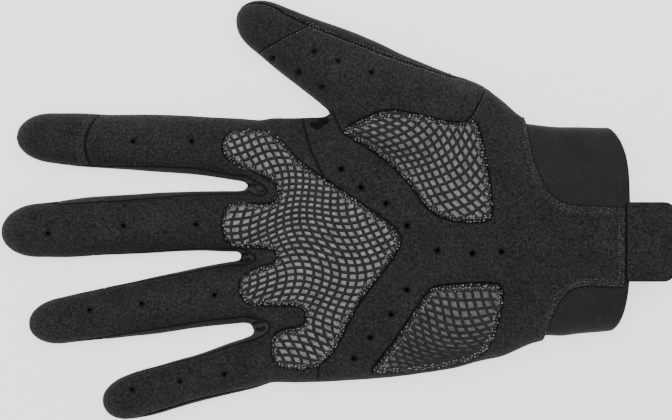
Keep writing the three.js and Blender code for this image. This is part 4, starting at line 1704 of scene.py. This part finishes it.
@dataclass
class Workshop:
    """Runs the Geometry Nodes trees and keeps what they give as plain meshes."""

    trees: dict[Tree, bpy.types.NodeTree] = field(
        default_factory=lambda: {
            Tree.STRANDS: strand_tree(), Tree.STITCHES: stitch_tree(), Tree.RIMS: rim_tree(),
        }
    )

    def run(
        self, name: str, tree: Tree, mesh: bpy.types.Mesh, inputs: dict[str, object]
    ) -> bpy.types.Object:
        """Runs a tree over a mesh.

        Args:
            name: the finished piece's name.
            tree: which tree.
            mesh: the lines or points that it follows.
            inputs: the values of its named inputs.

        Returns:
            The finished piece.
        """
        source = make_object(f"{name}_lines", mesh)
        modifier = source.modifiers.new("nodes", "NODES")
        modifier.node_group = self.trees[tree]
        sockets = {item.name: item.identifier for item in modifier.node_group.interface.items_tree}
        for key, value in inputs.items():
            modifier[sockets[key]] = value
        graph = bpy.context.evaluated_depsgraph_get()
        graph.update()
        made = bpy.data.meshes.new_from_object(source.evaluated_get(graph))
        made.name = name
        bpy.data.objects.remove(source)
        made.polygons.foreach_set("use_smooth", np.ones(len(made.polygons), bool))
        return make_object(name, made)


class Slot(Enum):
    """The material slots that the pieces are listed under."""

    PAD = "pad_mesh"
    SUEDE = "suede"
    TOUCH = "touch_suede"
    KNIT = "knit"
    NEOPRENE = "neoprene"


@dataclass(frozen=True)
class Finish:
    """A cloth: its colours, how rough and soft it is, its grain, and how much painted shade darkens it
    near its edges.
    """

    name: str
    colour: tuple[float, float, float]
    shade: tuple[float, float, float]
    roughness: float
    sheen: float
    grain_per_mm: float
    grain_depth: float
    fleck: float = 0.0
    fleck_colour: tuple[float, float, float] = (0.2, 0.2, 0.2)
    edge_dark: float = 0.75
    edge_from: float = 0.1
    edge_width: float = 0.6
    stretch: tuple[float, float, float] = (1.0, 1.0, 1.0)
    edged: bool = True


SUEDE = Finish(
    "SuedeLeather", (0.0560, 0.0560, 0.0564), (0.0090, 0.0090, 0.0091), 0.9, 0.04, 1.2, 1.0, 0.025
)
TOUCH = Finish(
    "TouchSuede", (0.0540, 0.0540, 0.0543), (0.0090, 0.0090, 0.0091), 0.88, 0.04, 1.4, 0.9, 0.02
)
KNIT = Finish(
    "StretchKnit", (0.0190, 0.0190, 0.0192), (0.0062, 0.0062, 0.0063), 0.85, 0.04, 2.0, 0.6,
    stretch=(1.0, 0.35, 1.0),
)
# A lighter copy of the knit for the fourchettes: painted light on the side panels between the fingers
LIT_SIDE_KNIT = replace(
    KNIT, name="SideKnitLit", colour=(0.075, 0.075, 0.0755), shade=(0.026, 0.026, 0.0262)
)
NEOPRENE = Finish(
    "Neoprene", (0.0420, 0.0420, 0.0423), (0.0170, 0.0170, 0.0171), 0.75, 0.05, 2.2, 0.4
)
FOAM = Finish(
    "PadFoam", (0.46, 0.456, 0.443), (0.13, 0.129, 0.126), 0.85, 0.0, 0.8, 0.3,
    edge_dark=0.94, edge_from=0.9, edge_width=2.1,
)
# Darker copies of the pad foam for the thenar and heel pads: painted shade on these two pads
SHADED_THENAR_FOAM = replace(
    FOAM, name="ThenarPadFoamShaded", colour=(0.36, 0.357, 0.347), shade=(0.11, 0.109, 0.106)
)
SHADED_HEEL_FOAM = replace(
    FOAM, name="HeelPadFoamShaded", colour=(0.23, 0.228, 0.22), shade=(0.08, 0.079, 0.077)
)
STRAND = Finish(
    "NetStrand", (0.06, 0.06, 0.06), (0.018, 0.018, 0.018), 0.7, 0.0, 1.4, 0.4, edged=False
)
THREAD = Finish("Thread", (0.2, 0.2, 0.2), (0.05, 0.05, 0.05), 0.6, 0.0, 1.1, 0.2, edged=False)
PAD_THREAD = Finish(
    "PadThread", (0.6, 0.6, 0.59), (0.06, 0.06, 0.06), 0.6, 0.0, 1.0, 0.2, edged=False
)
RIM = Finish(
    "PressedRim", (0.02, 0.02, 0.02), (0.012, 0.012, 0.012), 0.6, 0.05, 3.0, 0.1, edged=False
)

# What all cloths share, with scales to the metre
PATCH_SCALE = 90.0
PATCH_TONES = (0.82, 1.14)
FLECK_SCALE = 2600.0
FLECK_STRENGTH = 0.2
BUMP_HEIGHT = 0.0004
# Near-black mixed in near a panel's edge: painted shade in the seam gaps, round the air holes and along
# the crotch folds
EDGE_PAINTED_SHADE = (0.006, 0.006, 0.006, 1.0)


def colour_mix(sheet: NodeSheet, share: object, first: object, second: object) -> bpy.types.NodeSocket:
    """Mixes two colours by a share and gives the result's socket."""
    return sheet.add("ShaderNodeMix", {0: share, 6: first, 7: second}, data_type="RGBA").outputs[2]


def value_map(
    sheet: NodeSheet, value: object, given: tuple[float, float], wanted: tuple[float, float]
) -> bpy.types.NodeSocket:
    """Maps one range of a value onto another.

    Args:
        sheet: where the node goes.
        value: the socket that gives the value.
        given: the range that it is read over.
        wanted: what the range's ends become.

    Returns:
        The result's socket.
    """
    inputs = {"Value": value, "From Min": given[0], "From Max": given[1]}
    inputs |= {"To Min": wanted[0], "To Max": wanted[1]}
    return sheet.add("ShaderNodeMapRange", inputs).outputs[0]


def grain_group() -> bpy.types.NodeTree:
    """A shader group that gives cloth its grain: a mask, a coarse patchiness and a normal.

    Returns:
        The group.
    """
    sheet = NodeSheet(bpy.data.node_groups.new("ClothGrain", "ShaderNodeTree"))
    sheet.opening("Vector", "NodeSocketVector")
    sheet.opening("Scale", "NodeSocketFloat", 1500.0)
    sheet.opening("Depth", "NodeSocketFloat", 0.3)
    sheet.result("Mask", "NodeSocketFloat")
    sheet.result("Patches", "NodeSocketFloat")
    sheet.result("Normal", "NodeSocketVector")
    given = sheet.add("NodeGroupInput").outputs
    fine, broad = [
        sheet.add(
            "ShaderNodeTexNoise",
            {"Vector": given["Vector"], "Scale": scale, "Detail": detail, "Roughness": roughness},
        ).outputs["Fac"]
        for scale, detail, roughness in ((given["Scale"], 4.0, 0.65), (PATCH_SCALE, 5.0, 0.7))
    ]
    mask = value_map(sheet, fine, (0.3, 0.7), (0.0, 1.0))
    bump = sheet.add(
        "ShaderNodeBump", {"Strength": given["Depth"], "Distance": BUMP_HEIGHT, "Height": fine}
    )
    sheet.add("NodeGroupOutput", {"Mask": mask, "Patches": broad, "Normal": bump.outputs[0]})
    return sheet.tree


def fleck_group() -> bpy.types.NodeTree:
    """A shader group that scatters fine pale flecks: a mask.

    Returns:
        The group.
    """
    sheet = NodeSheet(bpy.data.node_groups.new("FineFlecks", "ShaderNodeTree"))
    sheet.opening("Vector", "NodeSocketVector")
    sheet.opening("Amount", "NodeSocketFloat", 0.1)
    sheet.result("Mask", "NodeSocketFloat")
    given = sheet.add("NodeGroupInput").outputs
    cells = sheet.add("ShaderNodeTexVoronoi", {"Vector": given["Vector"], "Scale": FLECK_SCALE})
    chance = sheet.add("ShaderNodeSeparateColor", {"Color": cells.outputs["Color"]}).outputs[0]
    least = sheet.add("ShaderNodeMath", {0: 1.0, 1: given["Amount"]}, operation="SUBTRACT")
    mask = sheet.add(
        "ShaderNodeMath", {0: chance, 1: least.outputs[0]}, operation="GREATER_THAN"
    )
    sheet.add("NodeGroupOutput", {"Mask": mask.outputs[0]})
    return sheet.tree


@dataclass
class Finishes:
    """Makes each cloth's material once."""

    grain: bpy.types.NodeTree = field(default_factory=grain_group)
    flecks: bpy.types.NodeTree = field(default_factory=fleck_group)
    made: dict[str, bpy.types.Material] = field(default_factory=dict)

    def material(self, finish: Finish) -> bpy.types.Material:
        """The material of a finish, which is built once.

        Args:
            finish: the cloth.

        Returns:
            The material.
        """
        if finish.name not in self.made:
            self.made[finish.name] = self._build(finish)
        return self.made[finish.name]

    def _build(self, finish: Finish) -> bpy.types.Material:
        """Builds a cloth's material.

        Args:
            finish: the cloth.

        Returns:
            The material.
        """
        material = bpy.data.materials.new(finish.name)
        material.use_nodes = True
        material.node_tree.nodes.clear()
        sheet = NodeSheet(material.node_tree)
        place = sheet.add("ShaderNodeTexCoord").outputs["Object"]
        turned = sheet.add("ShaderNodeMapping", {"Vector": place, "Scale": finish.stretch}).outputs[0]
        grain = sheet.add(
            "ShaderNodeGroup",
            {"Vector": turned, "Scale": finish.grain_per_mm / MM, "Depth": finish.grain_depth},
            node_tree=self.grain,
        ).outputs
        tint = colour_mix(sheet, grain["Mask"], (*finish.shade, 1.0), (*finish.colour, 1.0))
        patch = value_map(sheet, grain["Patches"], (0.3, 0.7), PATCH_TONES)
        shaded = sheet.add("ShaderNodeVectorMath", {0: tint, "Scale": patch}, operation="SCALE")
        colour = shaded.outputs[0]
        if finish.fleck:
            colour = self._flecked(sheet, finish, place, colour)
        # Mixes near-black in near the panel's edge: painted shade in the seam gaps, round the air holes
        # and along the crotch folds; on the pads a darker border band, partly their own dark edge and
        # partly painted shade where they slope down to the seam
        if finish.edged:
            edge = sheet.add("ShaderNodeAttribute", attribute_name="edge").outputs["Fac"]
            reach = (finish.edge_from, finish.edge_width)
            near = value_map(sheet, edge, reach, (finish.edge_dark, 0.0))
            colour = colour_mix(sheet, near, colour, EDGE_PAINTED_SHADE)
        shader = sheet.add(
            "ShaderNodeBsdfPrincipled",
            {
                "Base Color": colour, "Roughness": finish.roughness, "Sheen Weight": finish.sheen,
                "Sheen Roughness": 0.5, "Specular IOR Level": 0.1, "Normal": grain["Normal"],
            },
        )
        sheet.add("ShaderNodeOutputMaterial", {"Surface": shader.outputs[0]})
        return material

    def _flecked(
        self, sheet: NodeSheet, finish: Finish, place: bpy.types.NodeSocket, colour: bpy.types.NodeSocket
    ) -> bpy.types.NodeSocket:
        """Scatters a cloth's flecks over its colour.

        Args:
            sheet: where the nodes go.
            finish: the cloth.
            place: the socket that gives the place on the piece.
            colour: the socket that gives the colour.

        Returns:
            The flecked colour's socket.
        """
        flecks = sheet.add(
            "ShaderNodeGroup", {"Vector": place, "Amount": finish.fleck}, node_tree=self.flecks
        )
        inputs = {0: flecks.outputs["Mask"], 1: FLECK_STRENGTH}
        share = sheet.add("ShaderNodeMath", inputs, operation="MULTIPLY")
        return colour_mix(sheet, share.outputs[0], colour, (*finish.fleck_colour, 1.0))


def finish_piece(piece: bpy.types.Object, node: str | None = None) -> None:
    """Attaches a finished piece to the root, hides the CAD node that it stands for and logs it.

    Args:
        piece: the piece.
        node: the CAD node that it stands for, where it stands for one.
    """
    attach(piece, "root")
    if node:
        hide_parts(node)
    log.info("%s: %d faces", piece.name, len(piece.data.polygons))


class PanelPlan(NamedTuple):
    """A panel: its CAD node, the seams that bound it, its wall, its slot and its cloth."""

    node: str
    bounds: Callable[[Marks], list[Array]]
    wall: Wall
    slot: Slot
    finish: Finish
    perforated: bool = False


PAD_WALL = Wall(out=0.25, thick=1.75, roll=0.75, crown=1.0, crown_width=3.2)
CUFF_SHELL = Wall(out=-CUFF_LEVEL, thick=CUFF_WALL, roll=0.5)
TAB_WALL = Wall(out=0.9, thick=2.4, roll=0.4, roll_width=0.8)
CLOTH = Wall()
STRETCH = Wall(roll=0.2, roll_width=0.6)

PLANS = (
    PanelPlan(
        "finger_panel",
        lambda m: [m["palm"], m["fingers"], -m["index_tip"], -m["knuckle"]],
        CLOTH, Slot.SUEDE, SUEDE, True,
    ),
    PanelPlan(
        "palm_center_panel",
        lambda m: [
            m["palm"], -m["fingers"], -m["thumb"], -m["knuckle"], -m["thenar"], -m["heel"],
            m["suede"],
        ],
        CLOTH, Slot.SUEDE, SUEDE, True,
    ),
    PanelPlan(
        "thumb_panel", lambda m: [m["palm"], m["thumb"], -m["thumb_tip"], -m["thenar"]],
        CLOTH, Slot.SUEDE, SUEDE, True,
    ),
    PanelPlan(
        "index_touch_tip", lambda m: [m["palm"], m["fingers"], m["index_tip"]],
        CLOTH, Slot.TOUCH, TOUCH,
    ),
    PanelPlan(
        "thumb_touch_tip", lambda m: [m["palm"], m["thumb"], m["thumb_tip"]],
        CLOTH, Slot.TOUCH, TOUCH, True,
    ),
    PanelPlan("knuckle_pad", lambda m: [m["palm"], m["knuckle"]], PAD_WALL, Slot.PAD, FOAM),
    PanelPlan("thenar_pad", lambda m: [m["palm"], m["thenar"]], PAD_WALL, Slot.PAD, SHADED_THENAR_FOAM),
    PanelPlan("hypothenar_pad", lambda m: [m["palm"], m["heel"]], PAD_WALL, Slot.PAD, SHADED_HEEL_FOAM),
    *(
        PanelPlan(
            f"fourchette_{fork.upper}_{fork.lower}",
            lambda m, mark=fork.mark: [-m["palm"], -m["back"], m[mark]],
            STRETCH, Slot.KNIT, LIT_SIDE_KNIT,
        )
        for fork in FORKS
    ),
    PanelPlan(
        "back_panel",
        lambda m: [
            -m["palm"],
            np.maximum(m["back"], -np.max([m[fork.mark] for fork in FORKS], axis=0)),
            -m["thumb_back"],
            PALM_LENGTH + BACK_EDGE * CUFF_LENGTH - BACK_SLANT * (m["y"] + BACK_TURN) - m["x"],
        ],
        STRETCH, Slot.KNIT, KNIT,
    ),
    PanelPlan(
        "thumb_back_panel", lambda m: [-m["palm"], m["thumb_back"]], STRETCH, Slot.KNIT, KNIT,
    ),
    PanelPlan(
        "cuff", lambda m: [m["x"] - PALM_LENGTH + CUFF_TUCK, m["hem"]],
        CUFF_SHELL, Slot.NEOPRENE, NEOPRENE,
    ),
    PanelPlan("pull_tab", lambda m: [m["palm"], m["tab"]], TAB_WALL, Slot.SUEDE, SUEDE),
)


class Net(NamedTuple):
    """How a pad's net runs: two families of lines, each a smooth series of the place on the palm.

    The series' coefficients are a fit to where the openings of the net lie.
    """

    pad: str
    centre: tuple[float, float]
    reach: tuple[float, float]
    degree: int
    first: tuple[float, ...]
    second: tuple[float, ...]

    def read(self, x: Array, y: Array) -> tuple[Array, Array]:
        """How many cells over a place is, along each family.

        Args:
            x: the points' X.
            y: the points' Y.

        Returns:
            The counts for the first and the second family.
        """
        a, b = (x - self.centre[0]) / self.reach[0], (y - self.centre[1]) / self.reach[1]
        table = np.polynomial.chebyshev.chebvander2d(a, b, [self.degree, self.degree])
        orders = [(p, q) for p in range(self.degree + 1) for q in range(self.degree + 1 - p)]
        terms = table[:, [p * (self.degree + 1) + q for p, q in orders]]
        return terms @ np.array(self.first), terms @ np.array(self.second)


NETS = (
    Net(
        "knuckle_pad", (25.03, 2.04), (33.25, 43.75), 9,
        (
            2.092, 4.420, 4.621, 2.487, 0.678, 2.005, -0.032, 0.279, 0.369, 0.364, 14.365, 2.615,
            2.995, 1.082, -1.016, 0.941, -0.754, 0.640, -0.324, 1.756, -0.541, 1.683, -0.207,
            -1.015, 0.232, -1.036, 0.235, 0.460, -1.432, -0.053, -0.673, -1.025, -0.431, -0.659,
            0.213, 0.547, 0.355, 0.326, 0.015, 0.124, 0.134, -0.118, 0.111, 0.075, 0.036, -0.224,
            0.130, -0.224, 0.188, -0.134, -0.117, -0.156, 0.007, -0.122, -0.014,
        ),
        (
            -3.156, -19.122, 0.850, 0.426, -0.007, -0.074, 0.100, 0.042, 0.053, 0.030, 2.097,
            1.296, 0.643, -1.148, -0.129, 0.026, -0.331, 0.044, -0.022, 1.639, 0.203, 1.358,
            0.677, -0.081, 0.024, 0.152, 0.055, 0.426, -0.073, 0.147, -0.515, -0.307, -0.118,
            -0.242, 0.835, -1.116, -0.165, 0.396, -0.120, 0.014, -0.712, 0.667, -0.165, -0.113,
            0.011, 0.456, 0.120, 0.554, 0.416, -0.067, 0.526, -0.100, 0.106, -0.209, -0.067,
        ),
    ),
    Net(
        "thenar_pad", (65.28, 30.04), (28.00, 21.70), 5,
        (
            0.221, 7.010, 0.163, 0.415, 0.029, 0.031, 9.947, -2.140, 0.043, -0.197, 0.107, -0.381,
            1.491, -0.140, 0.005, 0.190, 0.025, 0.334, 0.019, -0.378, -0.019,
        ),
        (
            -1.680, -4.575, -1.144, 0.152, -0.038, -0.015, 6.913, -0.921, 1.688, -0.579, -0.083,
            -0.461, 1.887, -1.281, -0.163, 0.472, -1.156, -0.074, -0.070, -0.113, -0.024,
        ),
    ),
    Net(
        "hypothenar_pad", (72.28, -25.96), (26.25, 19.25), 5,
        (
            -2.596, 6.090, -0.619, 0.615, -0.074, 0.024, 5.326, 1.336, -2.637, -0.087, -0.044,
            0.231, 2.015, 0.591, -0.148, -0.103, -0.608, 0.127, 0.190, -0.031, 0.047,
        ),
        (
            4.486, -14.197, 0.908, -0.952, 0.194, -0.034, 3.113, -0.997, 3.909, -0.335, 0.091,
            -0.626, -2.837, -1.755, 0.299, 0.899, -0.218, -0.050, -0.604, -0.149, 0.078,
        ),
    ),
)


@dataclass
class Panels:
    """The glove's panels, pads, cuff and tab."""

    skin: GloveSkin
    finishes: Finishes
    skins: dict[str, Skin] = field(default_factory=dict)
    walls: dict[str, Wall] = field(default_factory=dict)
    fold_rim: float = 0.2

    def build(self) -> None:
        """Cuts every panel from the skin and gives it its wall."""
        x, y, _ = self.skin.skin.points.T
        marks = {**self.skin.skin.marks, "x": x, "y": y}
        for plan in PLANS:
            values = plan.bounds(marks)
            if plan.perforated:
                values.append(marks["holes"] + SEAM_HALF)
            cut = self.skin.panel(*values)
            # Air holes and crotch folds count as edges, so the wall rolls in there and the material
            # paints shade along them
            if plan.perforated:
                cut.marks["edge"] = np.minimum(cut.marks["edge"], cut.marks["holes"])
            cut.marks["edge"] = np.minimum(cut.marks["edge"], cut.marks["folds"] + self.fold_rim)
            name = f"{plan.node}_cloth"
            piece = make_object(name, plan.wall.solid(name, cut))
            piece.data.materials.append(self.finishes.material(plan.finish))
            finish_piece(piece, plan.node)
            self.skins[plan.node], self.walls[plan.node] = cut, plan.wall


@dataclass
class Nets:
    """The dark open net over each pad."""

    panels: Panels
    workshop: Workshop
    finishes: Finishes
    strand: float = 0.56
    lift: float = 0.1
    border: float = 0.5
    step: float = 0.8
    sides: int = 5

    def build(self) -> None:
        """Lays the strands over every pad, half a cell from each whole number."""
        inputs = {
            "Radius": self.strand * MM, "Step": self.step * MM, "Sides": self.sides,
            "Material": self.finishes.material(STRAND),
        }
        for net in NETS:
            skin = self.panels.skins[net.pad]
            inside = skin.keep(skin.marks["edge"] - self.border)
            outer = self.panels.walls[net.pad].outside(inside) + inside.marks["normal"] * self.lift
            x, y, _ = inside.points.T
            values = [value + 0.5 for value in net.read(x, y)]
            lines = level_lines(net.pad, inside, values, outer)
            piece = self.workshop.run(f"{net.pad}_net", Tree.STRANDS, lines, inputs)
            finish_piece(piece)


class SeamRow(NamedTuple):
    """Rows of stitches on a piece, at distances from one of its seams."""

    name: str
    piece: str
    seam: str
    side: float
    distances: tuple[float, ...]
    pitch: float
    length: float
    thread: float
    finish: Finish
    slot: Slot
    within: Callable[[Marks], Array] | None = None
    scatter: float = 0.08
    uneven: float = 0.25


# Where the rows of stitches start and end, in millimetres or as a share of the palm
TONGUE_LEAD = 1.0
THUMB_TIP_GAP = 0.5
THUMB_BAND_LEVEL = 20.0
THUMB_EDGE_DEPTH = 4.0
THUMB_EDGE_END = 74.0
THUMB_HEEL_START = 0.77


def pad_row(name: str, pad: str) -> SeamRow:
    """The three rows of scattered stitches along a pad's edge.

    Args:
        name: the rows' name.
        pad: the pad.

    Returns:
        The rows.
    """
    return SeamRow(
        name, pad, "edge", 1, (0.55, 1.3, 2.0), 1.15, 0.5, 0.42, PAD_THREAD, Slot.PAD,
        scatter=0.34, uneven=0.55,
    )


SEAM_ROWS = (
    pad_row("knuckle_pad_stitches", "knuckle_pad"),
    pad_row("thenar_pad_stitches", "thenar_pad"),
    pad_row("heel_pad_stitches", "hypothenar_pad"),
    SeamRow(
        "index_tip_stitches", "index_touch_tip", "index_tip", 1, (1.0, 1.7, 2.4, 3.1),
        0.9, 0.5, 0.26, THREAD, Slot.TOUCH,
    ),
    SeamRow(
        "thumb_tip_stitches", "thumb_panel", "thumb_tip", -1, (0.55,),
        1.3, 0.8, 0.3, THREAD, Slot.SUEDE,
    ),
    SeamRow(
        "tongue_stitches", "palm_center_panel", "suede", 1, (0.9, 1.7, 2.5),
        1.0, 0.6, 0.3, THREAD, Slot.SUEDE,
        lambda m: m["x"] - PALM_LENGTH + TONGUE_LEAD,
        scatter=0.2, uneven=0.5,
    ),
    SeamRow(
        "thumb_band_stitches", "thumb_panel", "palm", 1, (0.6, 1.6),
        1.2, 0.7, 0.3, THREAD, Slot.SUEDE,
        lambda m: np.minimum(
            -m["thumb_tip"] - THUMB_TIP_GAP, m["y"] - m["x"] * THUMB_SLOPE - THUMB_BAND_LEVEL
        ),
    ),
    SeamRow(
        "thumb_edge_stitches", "thumb_back_panel", "edge", 1, (0.7, 1.5),
        1.3, 0.6, 0.3, THREAD, Slot.KNIT,
        lambda m: np.min([
            m["palm"] + THUMB_EDGE_DEPTH,
            THUMB_EDGE_END - m["x"],
            FINGERS["thumb"].width * FINGERS["thumb"].shares(m["x"], m["y"])[1],
        ], axis=0),
        scatter=0.3, uneven=0.5,
    ),
    SeamRow(
        "thumb_heel_stitches", "palm_center_panel", "thumb", -1, (0.5,),
        1.5, 0.9, 0.34, THREAD, Slot.SUEDE,
        lambda m: m["x"] - THUMB_HEEL_START * PALM_LENGTH,
    ),
)


@dataclass
class Stitches:
    """The rows of stitches along the seams."""

    panels: Panels
    workshop: Workshop
    finishes: Finishes
    lift: float = 0.06
    pad_lift: float = 0.5
    edge_gap: float = 0.2
    far: float = 400.0

    def build(self) -> None:
        """Sews every row."""
        for row in SEAM_ROWS:
            skin = self.panels.skins[row.piece]
            skin = skin.keep(skin.marks["edge"] - self.edge_gap)
            if row.within:
                x, y, _ = skin.points.T
                skin = skin.keep(row.within({**skin.marks, "x": x, "y": y}))
            lift = self.pad_lift if row.slot is Slot.PAD else self.lift
            outer = self.panels.walls[row.piece].outside(skin) + skin.marks["normal"] * lift
            past = row.side * skin.marks[row.seam]
            values = [(past - distance) / self.far for distance in row.distances]
            piece = self.workshop.run(
                row.name, Tree.STITCHES, level_lines(row.name, skin, values, outer),
                {
                    "Pitch": row.pitch * MM, "Length": row.length * MM, "Thread": row.thread * MM,
                    "Scatter": row.scatter * MM, "Uneven": row.uneven,
                    "Material": self.finishes.material(row.finish),
                },
            )
            finish_piece(piece)


@dataclass
class Rims:
    """The pressed rims round the air holes."""

    skin: GloveSkin
    workshop: Workshop
    finishes: Finishes
    width: float = 0.16
    facing: float = 0.2
    nearest: int = 24

    def build(self) -> None:
        """Sets a rim round every hole, on the outer surface."""
        points, normals, radii = [], [], []
        upper = self.skin.skin
        facing = upper.marks["normal"][:, 2] > self.facing
        around, out = upper.points[facing], upper.marks["normal"][facing]
        for x, y, bore in self.skin.holes():
            away = np.hypot(around[:, 0] - x, around[:, 1] - y)
            near = np.argsort(away)[:self.nearest]
            points.append([x, y, around[near, 2].mean()])
            normals.append(out[near].mean(axis=0))
            radii.append(bore / 2 * MM)
        mesh = make_mesh("holes", np.array(points))
        write_mark(mesh, "out", np.array(normals))
        write_mark(mesh, "radius", np.array(radii))
        piece = self.workshop.run(
            "air_hole_rims", Tree.RIMS, mesh,
            {"Rim": self.width * MM, "Material": self.finishes.material(RIM)},
        )
        finish_piece(piece)


@dataclass
class Studio:
    """The floor, the light and the camera over the glove.

    Sizes are in metres, and the camera's lens and sensor in millimetres.
    """

    distance: float = 0.991
    lens: float = 150.0
    sensor: float = 36.0
    floor_half: float = 2.0
    floor_tone: float = 0.9
    floor_glow: float = 1.5
    sky: float = 0.2
    lamp_place: tuple[float, float, float] = (-0.1, 0.25, 1.1)
    lamp_size: float = 0.9
    lamp_power: float = 11.5

    def build(self) -> None:
        """Lays the floor, hangs the light, lights the sky and sets the camera."""
        self._floor()
        self._lamp()
        self._sky()
        self._camera()

    def _floor(self) -> None:
        """Lays a plain pale floor."""
        mesh = bpy.data.meshes.new("floor")
        half = self.floor_half
        corners = [(-half, -half, 0), (half, -half, 0), (half, half, 0), (-half, half, 0)]
        mesh.from_pydata(corners, [], [(0, 1, 2, 3)])
        floor = make_object("floor", mesh)
        material = bpy.data.materials.new("FloorPaper")
        material.use_nodes = True
        shader = material.node_tree.nodes["Principled BSDF"].inputs
        shader["Base Color"].default_value = (*[self.floor_tone] * 3, 1)
        shader["Roughness"].default_value = 0.9
        shader["Emission Color"].default_value = (1, 1, 1, 1)
        shader["Emission Strength"].default_value = self.floor_glow
        mesh.materials.append(material)

    def _lamp(self) -> None:
        """Hangs a square soft light that looks at the middle of the glove."""
        data = bpy.data.lights.new("overhead", "AREA")
        data.energy, data.size = self.lamp_power, self.lamp_size
        lamp = make_object("overhead", data)
        lamp.location = self.lamp_place
        x, y, z = -np.array(self.lamp_place)
        lamp.rotation_euler = (math.atan2(math.hypot(x, y), -z), 0.0, math.atan2(x, -y))

    def _sky(self) -> None:
        """Lights the scene evenly from all round."""
        world = bpy.data.worlds.new("Studio")
        world.use_nodes = True
        background = world.node_tree.nodes["Background"].inputs
        background["Color"].default_value = (1, 1, 1, 1)
        background["Strength"].default_value = self.sky
        bpy.context.scene.world = world

    def _camera(self) -> None:
        """Sets the camera straight over the glove."""
        data = bpy.data.cameras.new("Camera")
        data.lens, data.sensor_width = self.lens, self.sensor
        camera = make_object("Camera", data)
        camera.location = (0, 0, self.distance)
        bpy.context.scene.camera = camera


def main() -> None:
    """Builds the glove and the studio."""
    finishes = Finishes()
    workshop = Workshop()
    skin = GloveSkin()
    panels = Panels(skin, finishes)
    panels.build()
    Nets(panels, workshop, finishes).build()
    Stitches(panels, workshop, finishes).build()
    Rims(skin, workshop, finishes).build()
    Studio().build()


if __name__ == "__main__":
    main()
